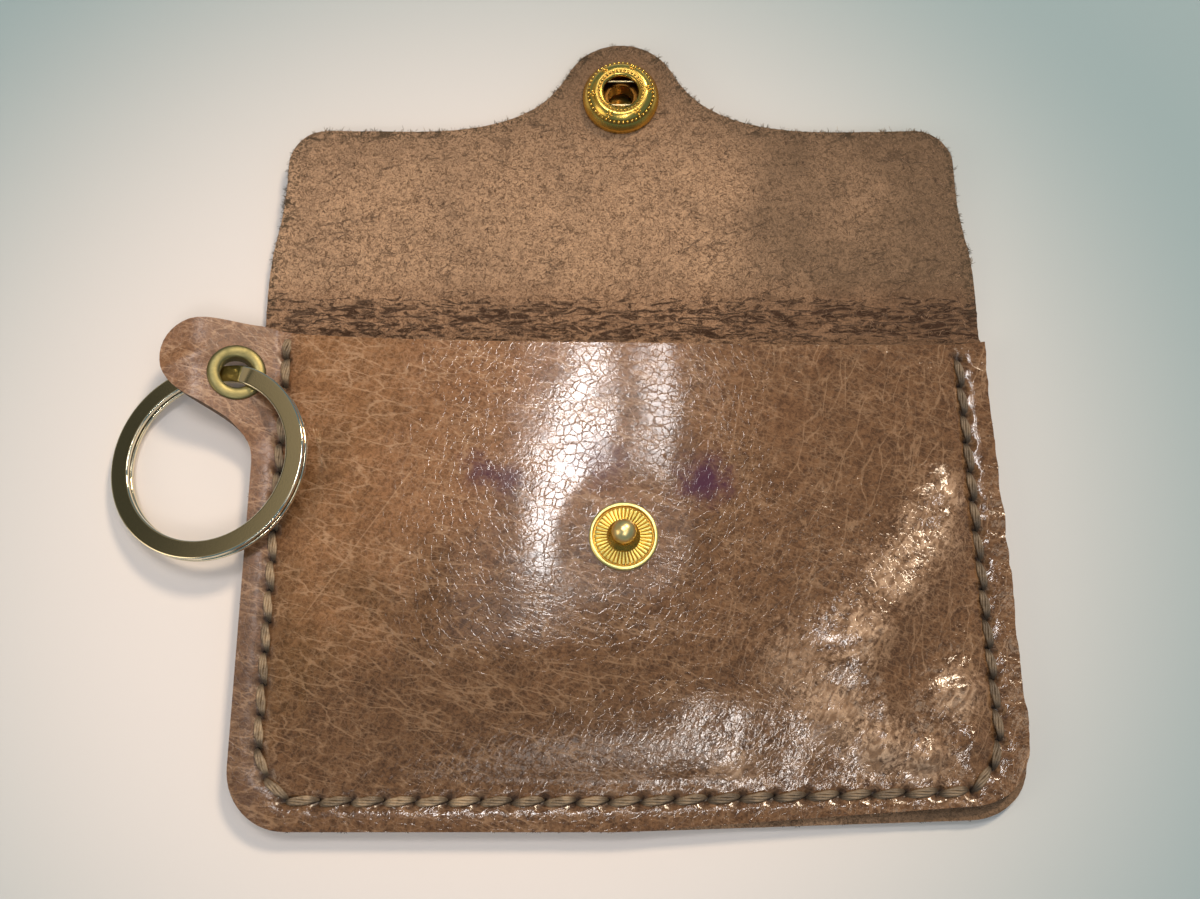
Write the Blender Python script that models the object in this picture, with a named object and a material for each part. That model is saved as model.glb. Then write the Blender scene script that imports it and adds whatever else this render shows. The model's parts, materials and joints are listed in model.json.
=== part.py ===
"""Leather card wallet with a key ring, open and lying on its back.

X runs to the right, Y towards the flap and Z up, out of the pocket's front. The origin is in the
outer face of the back panel, at half the pocket's height. All lengths are in metres.
"""

import math

import bmesh
import bpy
from mathutils import Matrix, Vector

# Leather panels. The right side leans out and up towards its lower corner, as it was cut by hand.
LEATHER = 0.0015
SEAM_GAP = 0.0002
PANEL_WIDTH = 0.1088
SIDE_HEIGHT = 0.0707
CORNER_RADIUS = 0.0085
RIGHT_LEAN = 0.0018
BOTTOM_LEAN = 0.0018
FRONT_TRIM = 0.0019
CORNER_STEPS = 6

# Mouth of the pocket, which dips in its middle and rises at its left end into the tab
MOUTH_DIP = 0.0029
MOUTH_RISE = 0.0022
MOUTH_PULL = 0.0300
MOUTH_STEPS = 10

# Room inside the pocket: how high it stands over the seam, and the slope along the seam
POCKET_ROOM = 0.0044
RAMP_START = 0.0017
RAMP_WIDTH = 0.0090
RAMP_STEPS = 5
PLATEAU_COLUMNS = 6
PLATEAU_ROWS = 4

# Tab of the front panel, which carries the eyelet and rises at a slant to its round end
TAB_REACH = 0.01385
TAB_RADIUS = 0.00595
TAB_ABOVE = 0.0028
TAB_ROOT = 0.0188
TAB_SLOPE = math.radians(17)
TAB_BEND = 0.0021
TAB_BEND_WIDTH = 0.0010
TAB_LEVEL = 0.0096
TAB_LEVEL_WIDTH = 0.0022
TAB_FADE = 0.0060
TAB_FADE_STEPS = 3
TAB_SIDE_STEPS = 7
TAB_END_ANGLE = math.radians(230)
TAB_TOP_PULL = 0.0030

# Seam with a saddle stitch: one thread goes round twice, through the same slanting slots
SEAM_MARGIN = 0.0040
SEAM_CORNER = 0.0045
SEAM_TOP = 0.0026
STITCH_PITCH = 0.0044
THREAD_DIAMETER = 0.00075
THREAD_APART = 0.00021
THREAD_OVER = 0.00012
THREAD_BOW = 0.00022
SLOT_LENGTH = 0.00235
SLOT_WIDTH = 0.00120
SLOT_FLAT = 0.00150
GROOVE_WIDTH = 0.0029
GROOVE_DEPTH = 0.00097

# Flap, measured along itself from the fold's axis
FOLD_ABOVE = 0.0050
FOLD_SPLIT = 0.0001
SHOULDER_LENGTH = 0.0302
SHOULDER_HALF = 0.0522
SHOULDER_RADIUS = 0.0060
SHOULDER_INNER = 0.0335
SHOULDER_PULL = 0.0150
FLAP_SIDE_PULL = 0.0130
TONGUE_RADIUS = 0.0094
TONGUE_END_ANGLE = math.radians(28)
TONGUE_PULL = 0.0075
TONGUE_STEPS = 9
FLAP_STEPS = 7

# Snap: the stud on the pocket, at a height over the bottom edge, and the socket on the flap
STUD_HEIGHT = 0.0398
SNAP_STEPS = 32
SNAP_PLAY = 0.00025
SEAT_GAP = 0.00005
SHEET = 0.00035

STUD_RADIUS = 0.00485
STUD_RIM = 0.00062
STUD_RIM_RISE = 0.00050
STUD_RIM_ROUND_SHARE = 0.25
STUD_DISH_RISE = 0.00022
BELL_RADIUS = 0.00240
BELL_RISE = 0.00095
NECK_RADIUS = 0.00130
NECK_RISE = 0.00190
BALL_RADIUS = 0.00170
BALL_RISE = 0.00330
BALL_STEPS = 6

STUD_POST_RADIUS = 0.00105
STUD_POST_HOLE = 0.00130
STUD_POST_LENGTH = 0.00200
STUD_POST_HEAD = 0.00400
STUD_POST_HEAD_HEIGHT = 0.00050
STUD_POST_SUNK = 0.00030

SOCKET_RADIUS = 0.00605
SOCKET_HEIGHT = 0.00330
SOCKET_CREST = 0.00430
SOCKET_MOUTH = 0.00295
SOCKET_LIP = 0.00230
SOCKET_SIDE = 0.00100
SOCKET_PLATE_HOLE = 0.00265
SPRING_DIAMETER = 0.00045
SPRING_HALF_GAP = 0.00205
SPRING_HEIGHT = 0.00185
SPRING_RADIUS = 0.00390
SPRING_STEPS = 8
SPRING_TAIL = 0.00330

CAP_RADIUS = 0.00625
CAP_HEIGHT = 0.00180
CAP_SHEET = 0.00030
CAP_RADIUS_SHARES = (0.98, 0.85, 0.60, 0.30)
CAP_HEIGHT_SHARES = (0.45, 0.72, 0.90, 0.98)
CAP_POST_RADIUS = 0.00235
CAP_POST_WALL = 0.00030
CAP_DISC_RADIUS = 0.00560
CAP_FLARE_RADIUS = 0.00330
CAP_FLARE_RISE = 0.00080
CAP_CLEAR = 0.00010
HOLE_CLEAR = 0.00015

# Eyelet in the tab, rolled over a washer on the underside
EYELET_OUTWARD = 0.00300
EYELET_DOWN = 0.00550
EYELET_BORE = 0.00240
EYELET_WALL = 0.00030
EYELET_RADIUS = 0.00425
EYELET_RISE = 0.00050
EYELET_RISE_SHARES = (0.25, 0.75)
EYELET_STEPS = 28
WASHER_RADIUS = 0.00420
WASHER_SHEET = 0.00025
WASHER_CLEAR = 0.00012
ROLL_RADIUS = 0.00340
ROLL_SHEET = 0.00020

# Split ring: a flat wire wound twice, with a short step from one turn to the other in the eyelet
RING_DIAMETER = 0.0300
WIRE_WIDTH = 0.00270
WIRE_THICKNESS = 0.00075
WIRE_CHAMFER = 0.00015
COIL_GAP = 0.00042
RING_TILT = math.radians(11)
RING_BEARING = math.radians(77.3)
STEP_LENGTH = 0.0060
STEP_CLEAR = 0.0021
TURN_STEPS = 32

# How far cutters run past what they cut, the distance within which points are one, and the
# steepest bend that is shaded smooth
OVERRUN = 0.0020
WELD = 0.000001
SMOOTH_BEND = math.radians(40)

# Color, roughness and metallic share of each material
FINISHES = {
    "grain_leather": ((0.23, 0.125, 0.075), 0.38, 0),
    "suede": ((0.27, 0.18, 0.12), 0.95, 0),
    "waxed_thread": ((0.22, 0.14, 0.08), 0.6, 0),
    "brass": ((0.80, 0.58, 0.22), 0.25, 1),
    "worn_brass": ((0.55, 0.43, 0.18), 0.35, 1),
    "plated_steel": ((0.72, 0.66, 0.50), 0.15, 1),
    "spring_wire": ((0.60, 0.48, 0.28), 0.3, 1),
}

# Places that follow from these sizes
HALF_WIDTH = PANEL_WIDTH / 2
TOP = SIDE_HEIGHT / 2
BOTTOM = -TOP
FRONT_LEVEL = LEATHER + SEAM_GAP
PLATEAU = FRONT_LEVEL + POCKET_ROOM
SOCKET_FACE = PLATEAU + LEATHER + SEAT_GAP + STUD_RIM_RISE + SNAP_PLAY
CLOSED_LEVEL = SOCKET_FACE + SOCKET_HEIGHT
FOLD_Y = TOP + FOLD_ABOVE
FOLD_Z = (LEATHER + CLOSED_LEVEL) / 2
FOLD_REACH = FOLD_Z - LEATHER
STUD_Y = BOTTOM + STUD_HEIGHT
SOCKET_Y = FOLD_Y - STUD_Y
CAP_DEPTH = LEATHER + SEAT_GAP + CAP_HEIGHT


def resting_tilt():
    """Angle at which the flap lies open, so that the cap under its tongue just clears the table."""
    drop = FOLD_REACH + CAP_DEPTH
    reach = math.hypot(SOCKET_Y, drop)
    return math.atan2(drop, SOCKET_Y) - math.asin((FOLD_Z - CAP_CLEAR) / reach)


def clamp(share):
    return max(0.0, min(1.0, share))


def smooth_step(share):
    share = clamp(share)
    return share * share * (3 - 2 * share)


def soft_ramp(distance, width):
    """Zero below the start, then a straight line, rounded where the two meet over the given width."""
    if distance <= 0:
        return 0.0
    if distance < width:
        return distance * distance / (2 * width)
    return distance - width / 2


def lean(x, y):
    """Moves a point of a straight panel to where the hand-cut one has it."""
    right_share = clamp(x / HALF_WIDTH)
    down_share = clamp((TOP - y) / SIDE_HEIGHT)
    low_share = clamp(-y / TOP)
    return (
        x + RIGHT_LEAN * right_share * down_share,
        y + BOTTOM_LEAN * right_share * low_share,
    )


# Heights of the front panel

def tab_lift(x, y):
    """Height that the tab gains over the seam, at a point left of the seam."""
    out = -HALF_WIDTH + TAB_BEND - x
    climb = soft_ramp(out + TAB_BEND_WIDTH / 2, TAB_BEND_WIDTH)
    level = soft_ramp(out - TAB_LEVEL, TAB_LEVEL_WIDTH)
    fade = smooth_step((y - TOP + TAB_ROOT) / TAB_FADE)
    return (climb - level) * math.tan(TAB_SLOPE) * fade


def pocket_rise(x, y):
    """Height that the front panel gains over the seam, inside the stitches."""
    side = HALF_WIDTH - SEAM_MARGIN - RAMP_START - abs(x)
    foot = y - BOTTOM - SEAM_MARGIN - RAMP_START
    return POCKET_ROOM * smooth_step(side / RAMP_WIDTH) * smooth_step(foot / RAMP_WIDTH)


def front_height(x, y):
    """Height of the front panel's inner face."""
    return FRONT_LEVEL + pocket_rise(x, y) + tab_lift(x, y)


# Shapes

def clear_scene():
    for old in list(bpy.data.objects):
        bpy.data.objects.remove(old, do_unlink=True)


def finish(name):
    color, roughness, metallic = FINISHES[name]
    material = bpy.data.materials.new(name)
    material.use_nodes = True
    shader = material.node_tree.nodes["Principled BSDF"]
    shader.inputs["Base Color"].default_value = (*color, 1.0)
    shader.inputs["Roughness"].default_value = roughness
    shader.inputs["Metallic"].default_value = metallic
    return material


def add_object(name, data, material, place=None, parent=None):
    """Links an object. The place is its matrix under its parent."""
    obj = bpy.data.objects.new(name, data)
    bpy.context.collection.objects.link(obj)
    data.materials.append(material)
    obj.parent = parent
    obj.matrix_local = place or Matrix.Identity(4)
    return obj


def mesh_from(name, bm, smooth=False):
    mesh = bpy.data.meshes.new(name)
    bm.to_mesh(mesh)
    bm.free()
    if smooth:
        mesh.shade_smooth()
        mesh.set_sharp_from_angle(angle=SMOOTH_BEND)
    return mesh


def add_empty(name, place):
    empty = bpy.data.objects.new(name, None)
    bpy.context.collection.objects.link(empty)
    empty.matrix_world = place
    return empty


def bezier(start, start_pull, end_pull, end, steps):
    """Points of a cubic curve, without its last one."""
    points = []
    for step in range(steps):
        t = step / steps
        points.append(
            start * (1 - t) ** 3
            + start_pull * (3 * t * (1 - t) ** 2)
            + end_pull * (3 * t * t * (1 - t))
            + end * t ** 3
        )
    return points


def arc(centre, radius, first, last, steps):
    """Points of an arc, both ends included."""
    return [
        centre + radius * Vector((math.cos(angle), math.sin(angle)))
        for angle in (first + (last - first) * step / steps for step in range(steps + 1))
    ]


def plate(outline, low, high):
    """A flat plate with the outline given, between two heights."""
    bm = bmesh.new()
    face = bm.faces.new([bm.verts.new((x, y, low)) for x, y in outline])
    grown = bmesh.ops.extrude_face_region(bm, geom=[face])
    top = [item for item in grown["geom"] if isinstance(item, bmesh.types.BMVert)]
    bmesh.ops.translate(bm, verts=top, vec=(0, 0, high - low))
    bmesh.ops.recalc_face_normals(bm, faces=bm.faces)
    return bm


def turned(profile, steps):
    """A closed profile of (radius, height) points spun round Z. It may touch the axis."""
    bm = bmesh.new()
    ring = [bm.verts.new((radius, 0, height)) for radius, height in profile]
    pairs = [(ring[i - 1], ring[i]) for i in range(len(ring))]
    edges = [bm.edges.new(pair) for pair in pairs if pair[0].co.x > 0 or pair[1].co.x > 0]
    bmesh.ops.spin(
        bm, geom=ring + edges, cent=(0, 0, 0), axis=(0, 0, 1),
        angle=2 * math.pi, steps=steps, use_merge=True,
    )
    bmesh.ops.remove_doubles(bm, verts=bm.verts, dist=WELD)
    bmesh.ops.recalc_face_normals(bm, faces=bm.faces)
    return bm


def wire_curve(name, points, diameter, sides_over_four):
    """A curve with a round section through the points, with closed ends."""
    curve = bpy.data.curves.new(name, "CURVE")
    curve.dimensions = "3D"
    curve.bevel_depth = diameter / 2
    curve.bevel_resolution = sides_over_four
    curve.use_fill_caps = True
    spline = curve.splines.new("POLY")
    spline.points.add(len(points) - 1)
    for place, point in zip(spline.points, points):
        place.co = (*point, 1.0)
    return curve


def cut(obj, bm, name):
    """Takes the shape away from the object. The cutter stays in the scene as a hidden helper."""
    cutter = bpy.data.objects.new(name, mesh_from(name, bm))
    bpy.context.collection.objects.link(cutter)
    cutter.parent = obj.parent
    cutter.hide_render = True
    cutter.display_type = "WIRE"
    boolean = obj.modifiers.new(name, "BOOLEAN")
    boolean.operation = "DIFFERENCE"
    boolean.solver = "EXACT"
    boolean.object = cutter
    return cutter


# Outlines

def lower_corners(trim):
    """Both lower corners of a panel and its bottom edge, from the left to the right."""
    left = Vector((-HALF_WIDTH + CORNER_RADIUS, BOTTOM + CORNER_RADIUS))
    right = Vector((HALF_WIDTH - CORNER_RADIUS, BOTTOM + CORNER_RADIUS + trim))
    return (
        arc(left, CORNER_RADIUS, math.pi, 1.5 * math.pi, CORNER_STEPS)
        + [Vector((0, BOTTOM))]
        + arc(right, CORNER_RADIUS, 1.5 * math.pi, 2 * math.pi, CORNER_STEPS)
    )


def tab_outline():
    """From the mouth's left end over the tab's round end and down to the panel's left edge."""
    end = Vector((-HALF_WIDTH - TAB_REACH + TAB_RADIUS, TOP + TAB_ABOVE - TAB_RADIUS))
    start = Vector((-HALF_WIDTH, TOP + MOUTH_RISE))
    crown = end + Vector((0, TAB_RADIUS))
    top = bezier(
        start, start - Vector((TAB_TOP_PULL, 0)), crown + Vector((TAB_TOP_PULL, 0)), crown,
        CORNER_STEPS,
    )
    round_end = arc(end, TAB_RADIUS, math.pi / 2, TAB_END_ANGLE, CORNER_STEPS)
    heading = Vector((-math.sin(TAB_END_ANGLE), math.cos(TAB_END_ANGLE)))
    foot = Vector((-HALF_WIDTH, TOP - TAB_ROOT))
    side = bezier(
        round_end[-1], round_end[-1] + heading * TAB_RADIUS, foot + Vector((0, TAB_RADIUS)),
        foot, TAB_SIDE_STEPS,
    )
    return top + round_end + side[1:] + [foot]


def mouth_outline():
    """The mouth of the pocket, from its right end to its left."""
    right = Vector((HALF_WIDTH, TOP))
    left = Vector((-HALF_WIDTH, TOP + MOUTH_RISE))
    low = Vector((0, TOP - MOUTH_DIP))
    return bezier(
        right, low + Vector((MOUTH_PULL, 0)), low - Vector((MOUTH_PULL, 0)), left, MOUTH_STEPS
    )


def flap_outline():
    """The flap with its shoulders and its round tongue, in the flap's own plane."""
    root = Vector((HALF_WIDTH, FOLD_SPLIT / 2))
    corner = Vector((SHOULDER_HALF - SHOULDER_RADIUS, SHOULDER_LENGTH - SHOULDER_RADIUS))
    side_top = corner + Vector((SHOULDER_RADIUS, 0))
    tongue = Vector((0, SOCKET_Y))
    tip = arc(tongue, TONGUE_RADIUS, TONGUE_END_ANGLE, math.pi / 2, TONGUE_STEPS)
    heading = Vector((math.sin(TONGUE_END_ANGLE), -math.cos(TONGUE_END_ANGLE)))
    shoulder = Vector((SHOULDER_INNER, SHOULDER_LENGTH))
    half = (
        bezier(
            root, root + Vector((0, FLAP_SIDE_PULL)), side_top - Vector((0, FLAP_SIDE_PULL)),
            side_top, FLAP_STEPS,
        )
        + arc(corner, SHOULDER_RADIUS, 0, math.pi / 2, CORNER_STEPS)
        + bezier(
            shoulder, shoulder - Vector((SHOULDER_PULL, 0)), tip[0] + heading * TONGUE_PULL,
            tip[0], TONGUE_STEPS,
        )
        + tip[:-1]
    )
    other = [Vector((-point.x, point.y)) for point in reversed(half)]
    return half + [Vector((0, SOCKET_Y + TONGUE_RADIUS))] + other


# Seam

def seam_path():
    """Corner points of the stitched line, from the right end of the mouth round to the left."""
    side = HALF_WIDTH - SEAM_MARGIN
    foot = BOTTOM + SEAM_MARGIN
    right = [(side, TOP - SEAM_TOP), (side, foot + SEAM_CORNER), (side - SEAM_CORNER, foot)]
    return [Vector(point) for point in right] + [
        Vector((-x, y)) for x, y in reversed(right)
    ]


def seam_points():
    """Places and directions of the stitch holes, evenly spaced along the stitched line."""
    path = seam_path()
    lengths = [(path[i + 1] - path[i]).length for i in range(len(path) - 1)]
    count = round(sum(lengths) / STITCH_PITCH)
    found = []
    for hole in range(count + 1):
        left = sum(lengths) * hole / count
        run = 0
        while run < len(lengths) - 1 and left > lengths[run]:
            left -= lengths[run]
            run += 1
        along = (path[run + 1] - path[run]).normalized()
        found.append((path[run] + along * left, along))
    return found


def leaning(point):
    return Vector(lean(point.x, point.y))


def slots(low, high):
    """Slots for the stitches, across the seam and pointed at both ends."""
    bm = bmesh.new()
    for centre, along in seam_points():
        across = Vector((-along.y, along.x))
        corners = [
            across * (SLOT_LENGTH / 2),
            across * (SLOT_FLAT / 2) + along * (SLOT_WIDTH / 2),
            across * (-SLOT_FLAT / 2) + along * (SLOT_WIDTH / 2),
        ]
        outline = [leaning(centre + corner) for corner in corners + [-c for c in corners]]
        face = bm.faces.new([bm.verts.new((x, y, low)) for x, y in outline])
        grown = bmesh.ops.extrude_face_region(bm, geom=[face])
        top = [item for item in grown["geom"] if isinstance(item, bmesh.types.BMVert)]
        bmesh.ops.translate(bm, verts=top, vec=(0, 0, high - low))
    bmesh.ops.recalc_face_normals(bm, faces=bm.faces)
    return bm


def groove():
    """Channel round the back, in which the thread lies, a little longer than the seam."""
    path = seam_path()
    half = GROOVE_WIDTH / 2
    rows = []
    for i, point in enumerate(path):
        before = (point - path[i - 1]).normalized() if i else None
        after = (path[i + 1] - point).normalized() if i < len(path) - 1 else None
        along = ((before or after) + (after or before)).normalized()
        across = Vector((-along.y, along.x))
        width = half / across.dot(Vector((-(after or before).y, (after or before).x)))
        end = along * (half * ((after is None) - (before is None)))
        rows.append((leaning(point + end + across * width), leaning(point + end - across * width)))
    outline = [row[0] for row in rows] + [row[1] for row in reversed(rows)]
    return plate(outline, -OVERRUN, GROOVE_DEPTH)


def thread_path():
    """One thread through every hole twice: first the one half from its end, then the other.

    On the front each stitch starts on the outer side of its hole and ends on the inner side of
    the next, so the stitches slant, and the halves take turns on the front.
    """
    holes = seam_points()
    top = FRONT_LEVEL + LEATHER + THREAD_OVER + THREAD_DIAMETER / 2
    low = GROOVE_DEPTH - THREAD_OVER - THREAD_DIAMETER / 2
    shift = (THREAD_DIAMETER + THREAD_APART) / 2

    def place(hole, side, height):
        centre, along = holes[hole]
        spot = leaning(centre + Vector((-along.y, along.x)) * shift * side)
        return Vector((spot.x, spot.y, height))

    def half(starts_on_front):
        points = []
        on_front = starts_on_front
        for hole in range(len(holes) - 1):
            level, bow = (top, THREAD_BOW) if on_front else (low, 0)
            first = place(hole, -1 if on_front else 1, level)
            last = place(hole + 1, 1 if on_front else -1, level)
            if hole == 0:
                first = place(hole, 0, level)
            points.append(first)
            if bow:
                points.append((first + last) / 2 + Vector((0, 0, bow)))
            points.append(last)
            on_front = not on_front
        if not on_front:
            points.append(place(len(holes) - 1, 1, low))
        return points

    return list(reversed(half(True))) + half(False)


# Leather pieces

def back_panel(material):
    fold = FOLD_Y - FOLD_SPLIT / 2
    top = [Vector((HALF_WIDTH, fold)), Vector((-HALF_WIDTH, fold))]
    outline = [leaning(point) for point in lower_corners(0) + top]
    panel = add_object("back_panel", mesh_from("back_panel", plate(outline, 0, LEATHER)), material)
    cut(panel, slots(-OVERRUN, FRONT_LEVEL), "back_slots")
    cut(panel, groove(), "back_groove")
    return panel


def even_steps(first, last, count):
    return [first + (last - first) * step / count for step in range(count + 1)]


def slice_at(bm, values, axis, keep=None):
    """Cuts the faces along lines at right angles to the axis. keep picks the faces to cut."""
    normal = Vector((axis == "x", axis == "y", 0))
    for value in values:
        faces = [face for face in bm.faces if keep is None or keep(face.calc_center_median())]
        edges = {edge for face in faces for edge in face.edges}
        verts = {vert for face in faces for vert in face.verts}
        bmesh.ops.bisect_plane(
            bm, geom=[*verts, *edges, *faces], dist=WELD, plane_co=normal * value, plane_no=normal
        )


def front_panel(material):
    """The pocket's front: cut flat, bent along a grid of lines, and then given its thickness."""
    outline = lower_corners(FRONT_TRIM) + mouth_outline() + tab_outline()
    bm = bmesh.new()
    bm.faces.new([bm.verts.new((x, y, 0)) for x, y in outline])
    ramp_edge = HALF_WIDTH - SEAM_MARGIN - RAMP_START
    ramp_foot = BOTTOM + SEAM_MARGIN + RAMP_START
    ramp = even_steps(ramp_edge - RAMP_WIDTH, ramp_edge, RAMP_STEPS)
    plateau = even_steps(-ramp[0], ramp[0], PLATEAU_COLUMNS)
    slice_at(bm, [-x for x in ramp] + ramp + plateau[1:-1], "x")
    rows = even_steps(ramp_foot, ramp_foot + RAMP_WIDTH, RAMP_STEPS)
    rows += even_steps(rows[-1], TOP - MOUTH_DIP - SEAM_MARGIN, PLATEAU_ROWS)[1:]
    slice_at(bm, rows, "y", lambda place: abs(place.x) < ramp_edge)

    bend = -HALF_WIDTH + TAB_BEND
    level = bend - TAB_LEVEL
    slice_at(bm, even_steps(bend + TAB_BEND_WIDTH / 2, bend - TAB_BEND_WIDTH / 2, 2), "x")
    slice_at(bm, even_steps(level, level - TAB_LEVEL_WIDTH, 2), "x")
    fade = even_steps(TOP - TAB_ROOT, TOP - TAB_ROOT + TAB_FADE, TAB_FADE_STEPS)
    slice_at(bm, fade, "y", lambda place: place.x < bend + TAB_BEND_WIDTH)
    bmesh.ops.triangulate(bm, faces=bm.faces)
    for vert in bm.verts:
        height = front_height(vert.co.x, vert.co.y)
        vert.co = (*lean(vert.co.x, vert.co.y), height)
    bmesh.ops.recalc_face_normals(bm, faces=bm.faces)
    if sum(face.normal.z for face in bm.faces) < 0:
        bmesh.ops.reverse_faces(bm, faces=bm.faces)

    panel = add_object("front_panel", mesh_from("front_panel", bm), material)
    wall = panel.modifiers.new("leather", "SOLIDIFY")
    wall.thickness = LEATHER
    wall.offset = 1
    wall.use_even_offset = True
    cut(panel, slots(LEATHER, FRONT_LEVEL + LEATHER + OVERRUN), "front_slots")
    hole = STUD_POST_RADIUS + HOLE_CLEAR
    floor = -OVERRUN
    recess = STUD_POST_SUNK + SEAT_GAP
    head = STUD_POST_HEAD + HOLE_CLEAR
    seat = turned(
        [(0, floor), (head, floor), (head, recess), (hole, recess), (hole, LEATHER + OVERRUN),
         (0, LEATHER + OVERRUN)], EYELET_STEPS,
    )
    cut(panel, seat, "stud_hole").matrix_world = Matrix.Translation((0, STUD_Y, PLATEAU))
    barrel = EYELET_BORE + EYELET_WALL + HOLE_CLEAR
    bore = turned(
        [(0, -LEATHER - OVERRUN), (barrel, -LEATHER - OVERRUN), (barrel, LEATHER + OVERRUN),
         (0, LEATHER + OVERRUN)], EYELET_STEPS,
    )
    cut(panel, bore, "eyelet_hole").matrix_world = eyelet_place()
    return panel


def flap(material, hinge):
    bm = plate(flap_outline(), -FOLD_REACH - LEATHER, -FOLD_REACH)
    panel = add_object("flap", mesh_from("flap", bm), material, parent=hinge)
    hole = CAP_POST_RADIUS + HOLE_CLEAR
    low = -FOLD_REACH - LEATHER - OVERRUN
    bore = turned([(0, low), (hole, low), (hole, OVERRUN), (0, OVERRUN)], EYELET_STEPS)
    cutter = cut(panel, bore, "snap_hole")
    cutter.matrix_local = Matrix.Translation((0, SOCKET_Y, 0))
    return panel


def saddle_thread(material):
    return add_object(
        "saddle_thread", wire_curve("saddle_thread", thread_path(), THREAD_DIAMETER, 1), material
    )


# Snap on the flap. Heights are over the flap's inner face.

def socket_place():
    return Matrix.Translation((0, SOCKET_Y, -FOLD_REACH))


def socket_shell(material, hinge):
    """The domed ring round the socket's mouth, open below."""
    high = SOCKET_HEIGHT
    side = SOCKET_SIDE
    between = (SOCKET_RADIUS + SOCKET_CREST) / 2
    lip = SOCKET_MOUTH
    inner_high = high - SHEET
    outer = [
        (SOCKET_RADIUS, SEAT_GAP), (SOCKET_RADIUS, side), (SOCKET_RADIUS - SHEET, (side + high) / 2),
        (between, high - SHEET), (SOCKET_CREST, high), (lip + SHEET, high - SHEET / 2),
        (lip, high - SHEET), (lip, SOCKET_LIP),
    ]
    inner = [
        (lip + SHEET, SOCKET_LIP), (lip + SHEET, inner_high - SHEET),
        (SOCKET_CREST, inner_high), (between - SHEET / 2, inner_high - SHEET),
        (SOCKET_RADIUS - 2 * SHEET, (side + high) / 2 - SHEET / 2),
        (SOCKET_RADIUS - SHEET, side), (SOCKET_RADIUS - SHEET, SEAT_GAP),
    ]
    mesh = mesh_from("socket_shell", turned(outer + inner, SNAP_STEPS), smooth=True)
    return add_object("socket_shell", mesh, material, socket_place(), hinge)


def socket_plate(material, hinge):
    """The disc that closes the socket against the leather."""
    edge = SOCKET_RADIUS - SHEET - HOLE_CLEAR
    low = SEAT_GAP
    high = SEAT_GAP + SHEET
    profile = [(SOCKET_PLATE_HOLE, low), (edge, low), (edge, high), (SOCKET_PLATE_HOLE, high)]
    mesh = mesh_from("socket_plate", turned(profile, SNAP_STEPS), smooth=True)
    return add_object("socket_plate", mesh, material, socket_place(), hinge)


def socket_spring(material, hinge):
    """The bent wire: two straight runs past the mouth, joined by a bow at the right."""
    start = math.asin(SPRING_HALF_GAP / SPRING_RADIUS)
    bow = [
        Vector((SPRING_RADIUS * math.cos(angle), SPRING_RADIUS * math.sin(angle)))
        for angle in even_steps(-start, start, SPRING_STEPS)
    ]
    flat = [Vector((-SPRING_TAIL, bow[0].y))] + bow + [Vector((-SPRING_TAIL, bow[-1].y))]
    points = [Vector((point.x, point.y, SPRING_HEIGHT)) for point in flat]
    curve = wire_curve("socket_spring", points, SPRING_DIAMETER, 1)
    return add_object("socket_spring", curve, material, socket_place(), hinge)


def snap_cap_post(material, hinge):
    """The disc under the flap with its tube, which is flared out over the socket's plate."""
    disc_low = -LEATHER - SEAT_GAP - CAP_POST_WALL
    disc_high = -LEATHER - SEAT_GAP
    bore = CAP_POST_RADIUS - CAP_POST_WALL
    flare = SEAT_GAP + SHEET + SEAT_GAP
    profile = [
        (bore, disc_low), (CAP_DISC_RADIUS, disc_low), (CAP_DISC_RADIUS, disc_high),
        (CAP_POST_RADIUS, disc_high), (CAP_POST_RADIUS, flare), (CAP_FLARE_RADIUS, flare),
        (CAP_FLARE_RADIUS, flare + CAP_POST_WALL), (CAP_POST_RADIUS, CAP_FLARE_RISE),
        (bore, CAP_FLARE_RISE),
    ]
    mesh = mesh_from("snap_cap_post", turned(profile, SNAP_STEPS), smooth=True)
    return add_object("snap_cap_post", mesh, material, socket_place(), hinge)


def snap_cap_shell(material, hinge):
    """The domed cap that shows on the outside of the closed flap."""
    rim = -LEATHER - SEAT_GAP
    low = rim - CAP_HEIGHT
    wall = CAP_SHEET
    dome = [
        (radius_share, rim - height_share * CAP_HEIGHT)
        for radius_share, height_share in zip(CAP_RADIUS_SHARES, CAP_HEIGHT_SHARES)
    ]
    outer = [(CAP_RADIUS, rim)] + [(share * CAP_RADIUS, height) for share, height in dome]
    inner = [(share * (CAP_RADIUS - wall), height + wall) for share, height in reversed(dome)]
    inner = [(0, low), (0, low + wall)] + inner + [(CAP_RADIUS - wall, rim)]
    mesh = mesh_from("snap_cap_shell", turned(outer + inner, SNAP_STEPS), smooth=True)
    return add_object("snap_cap_shell", mesh, material, socket_place(), hinge)


# Snap on the pocket

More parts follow.
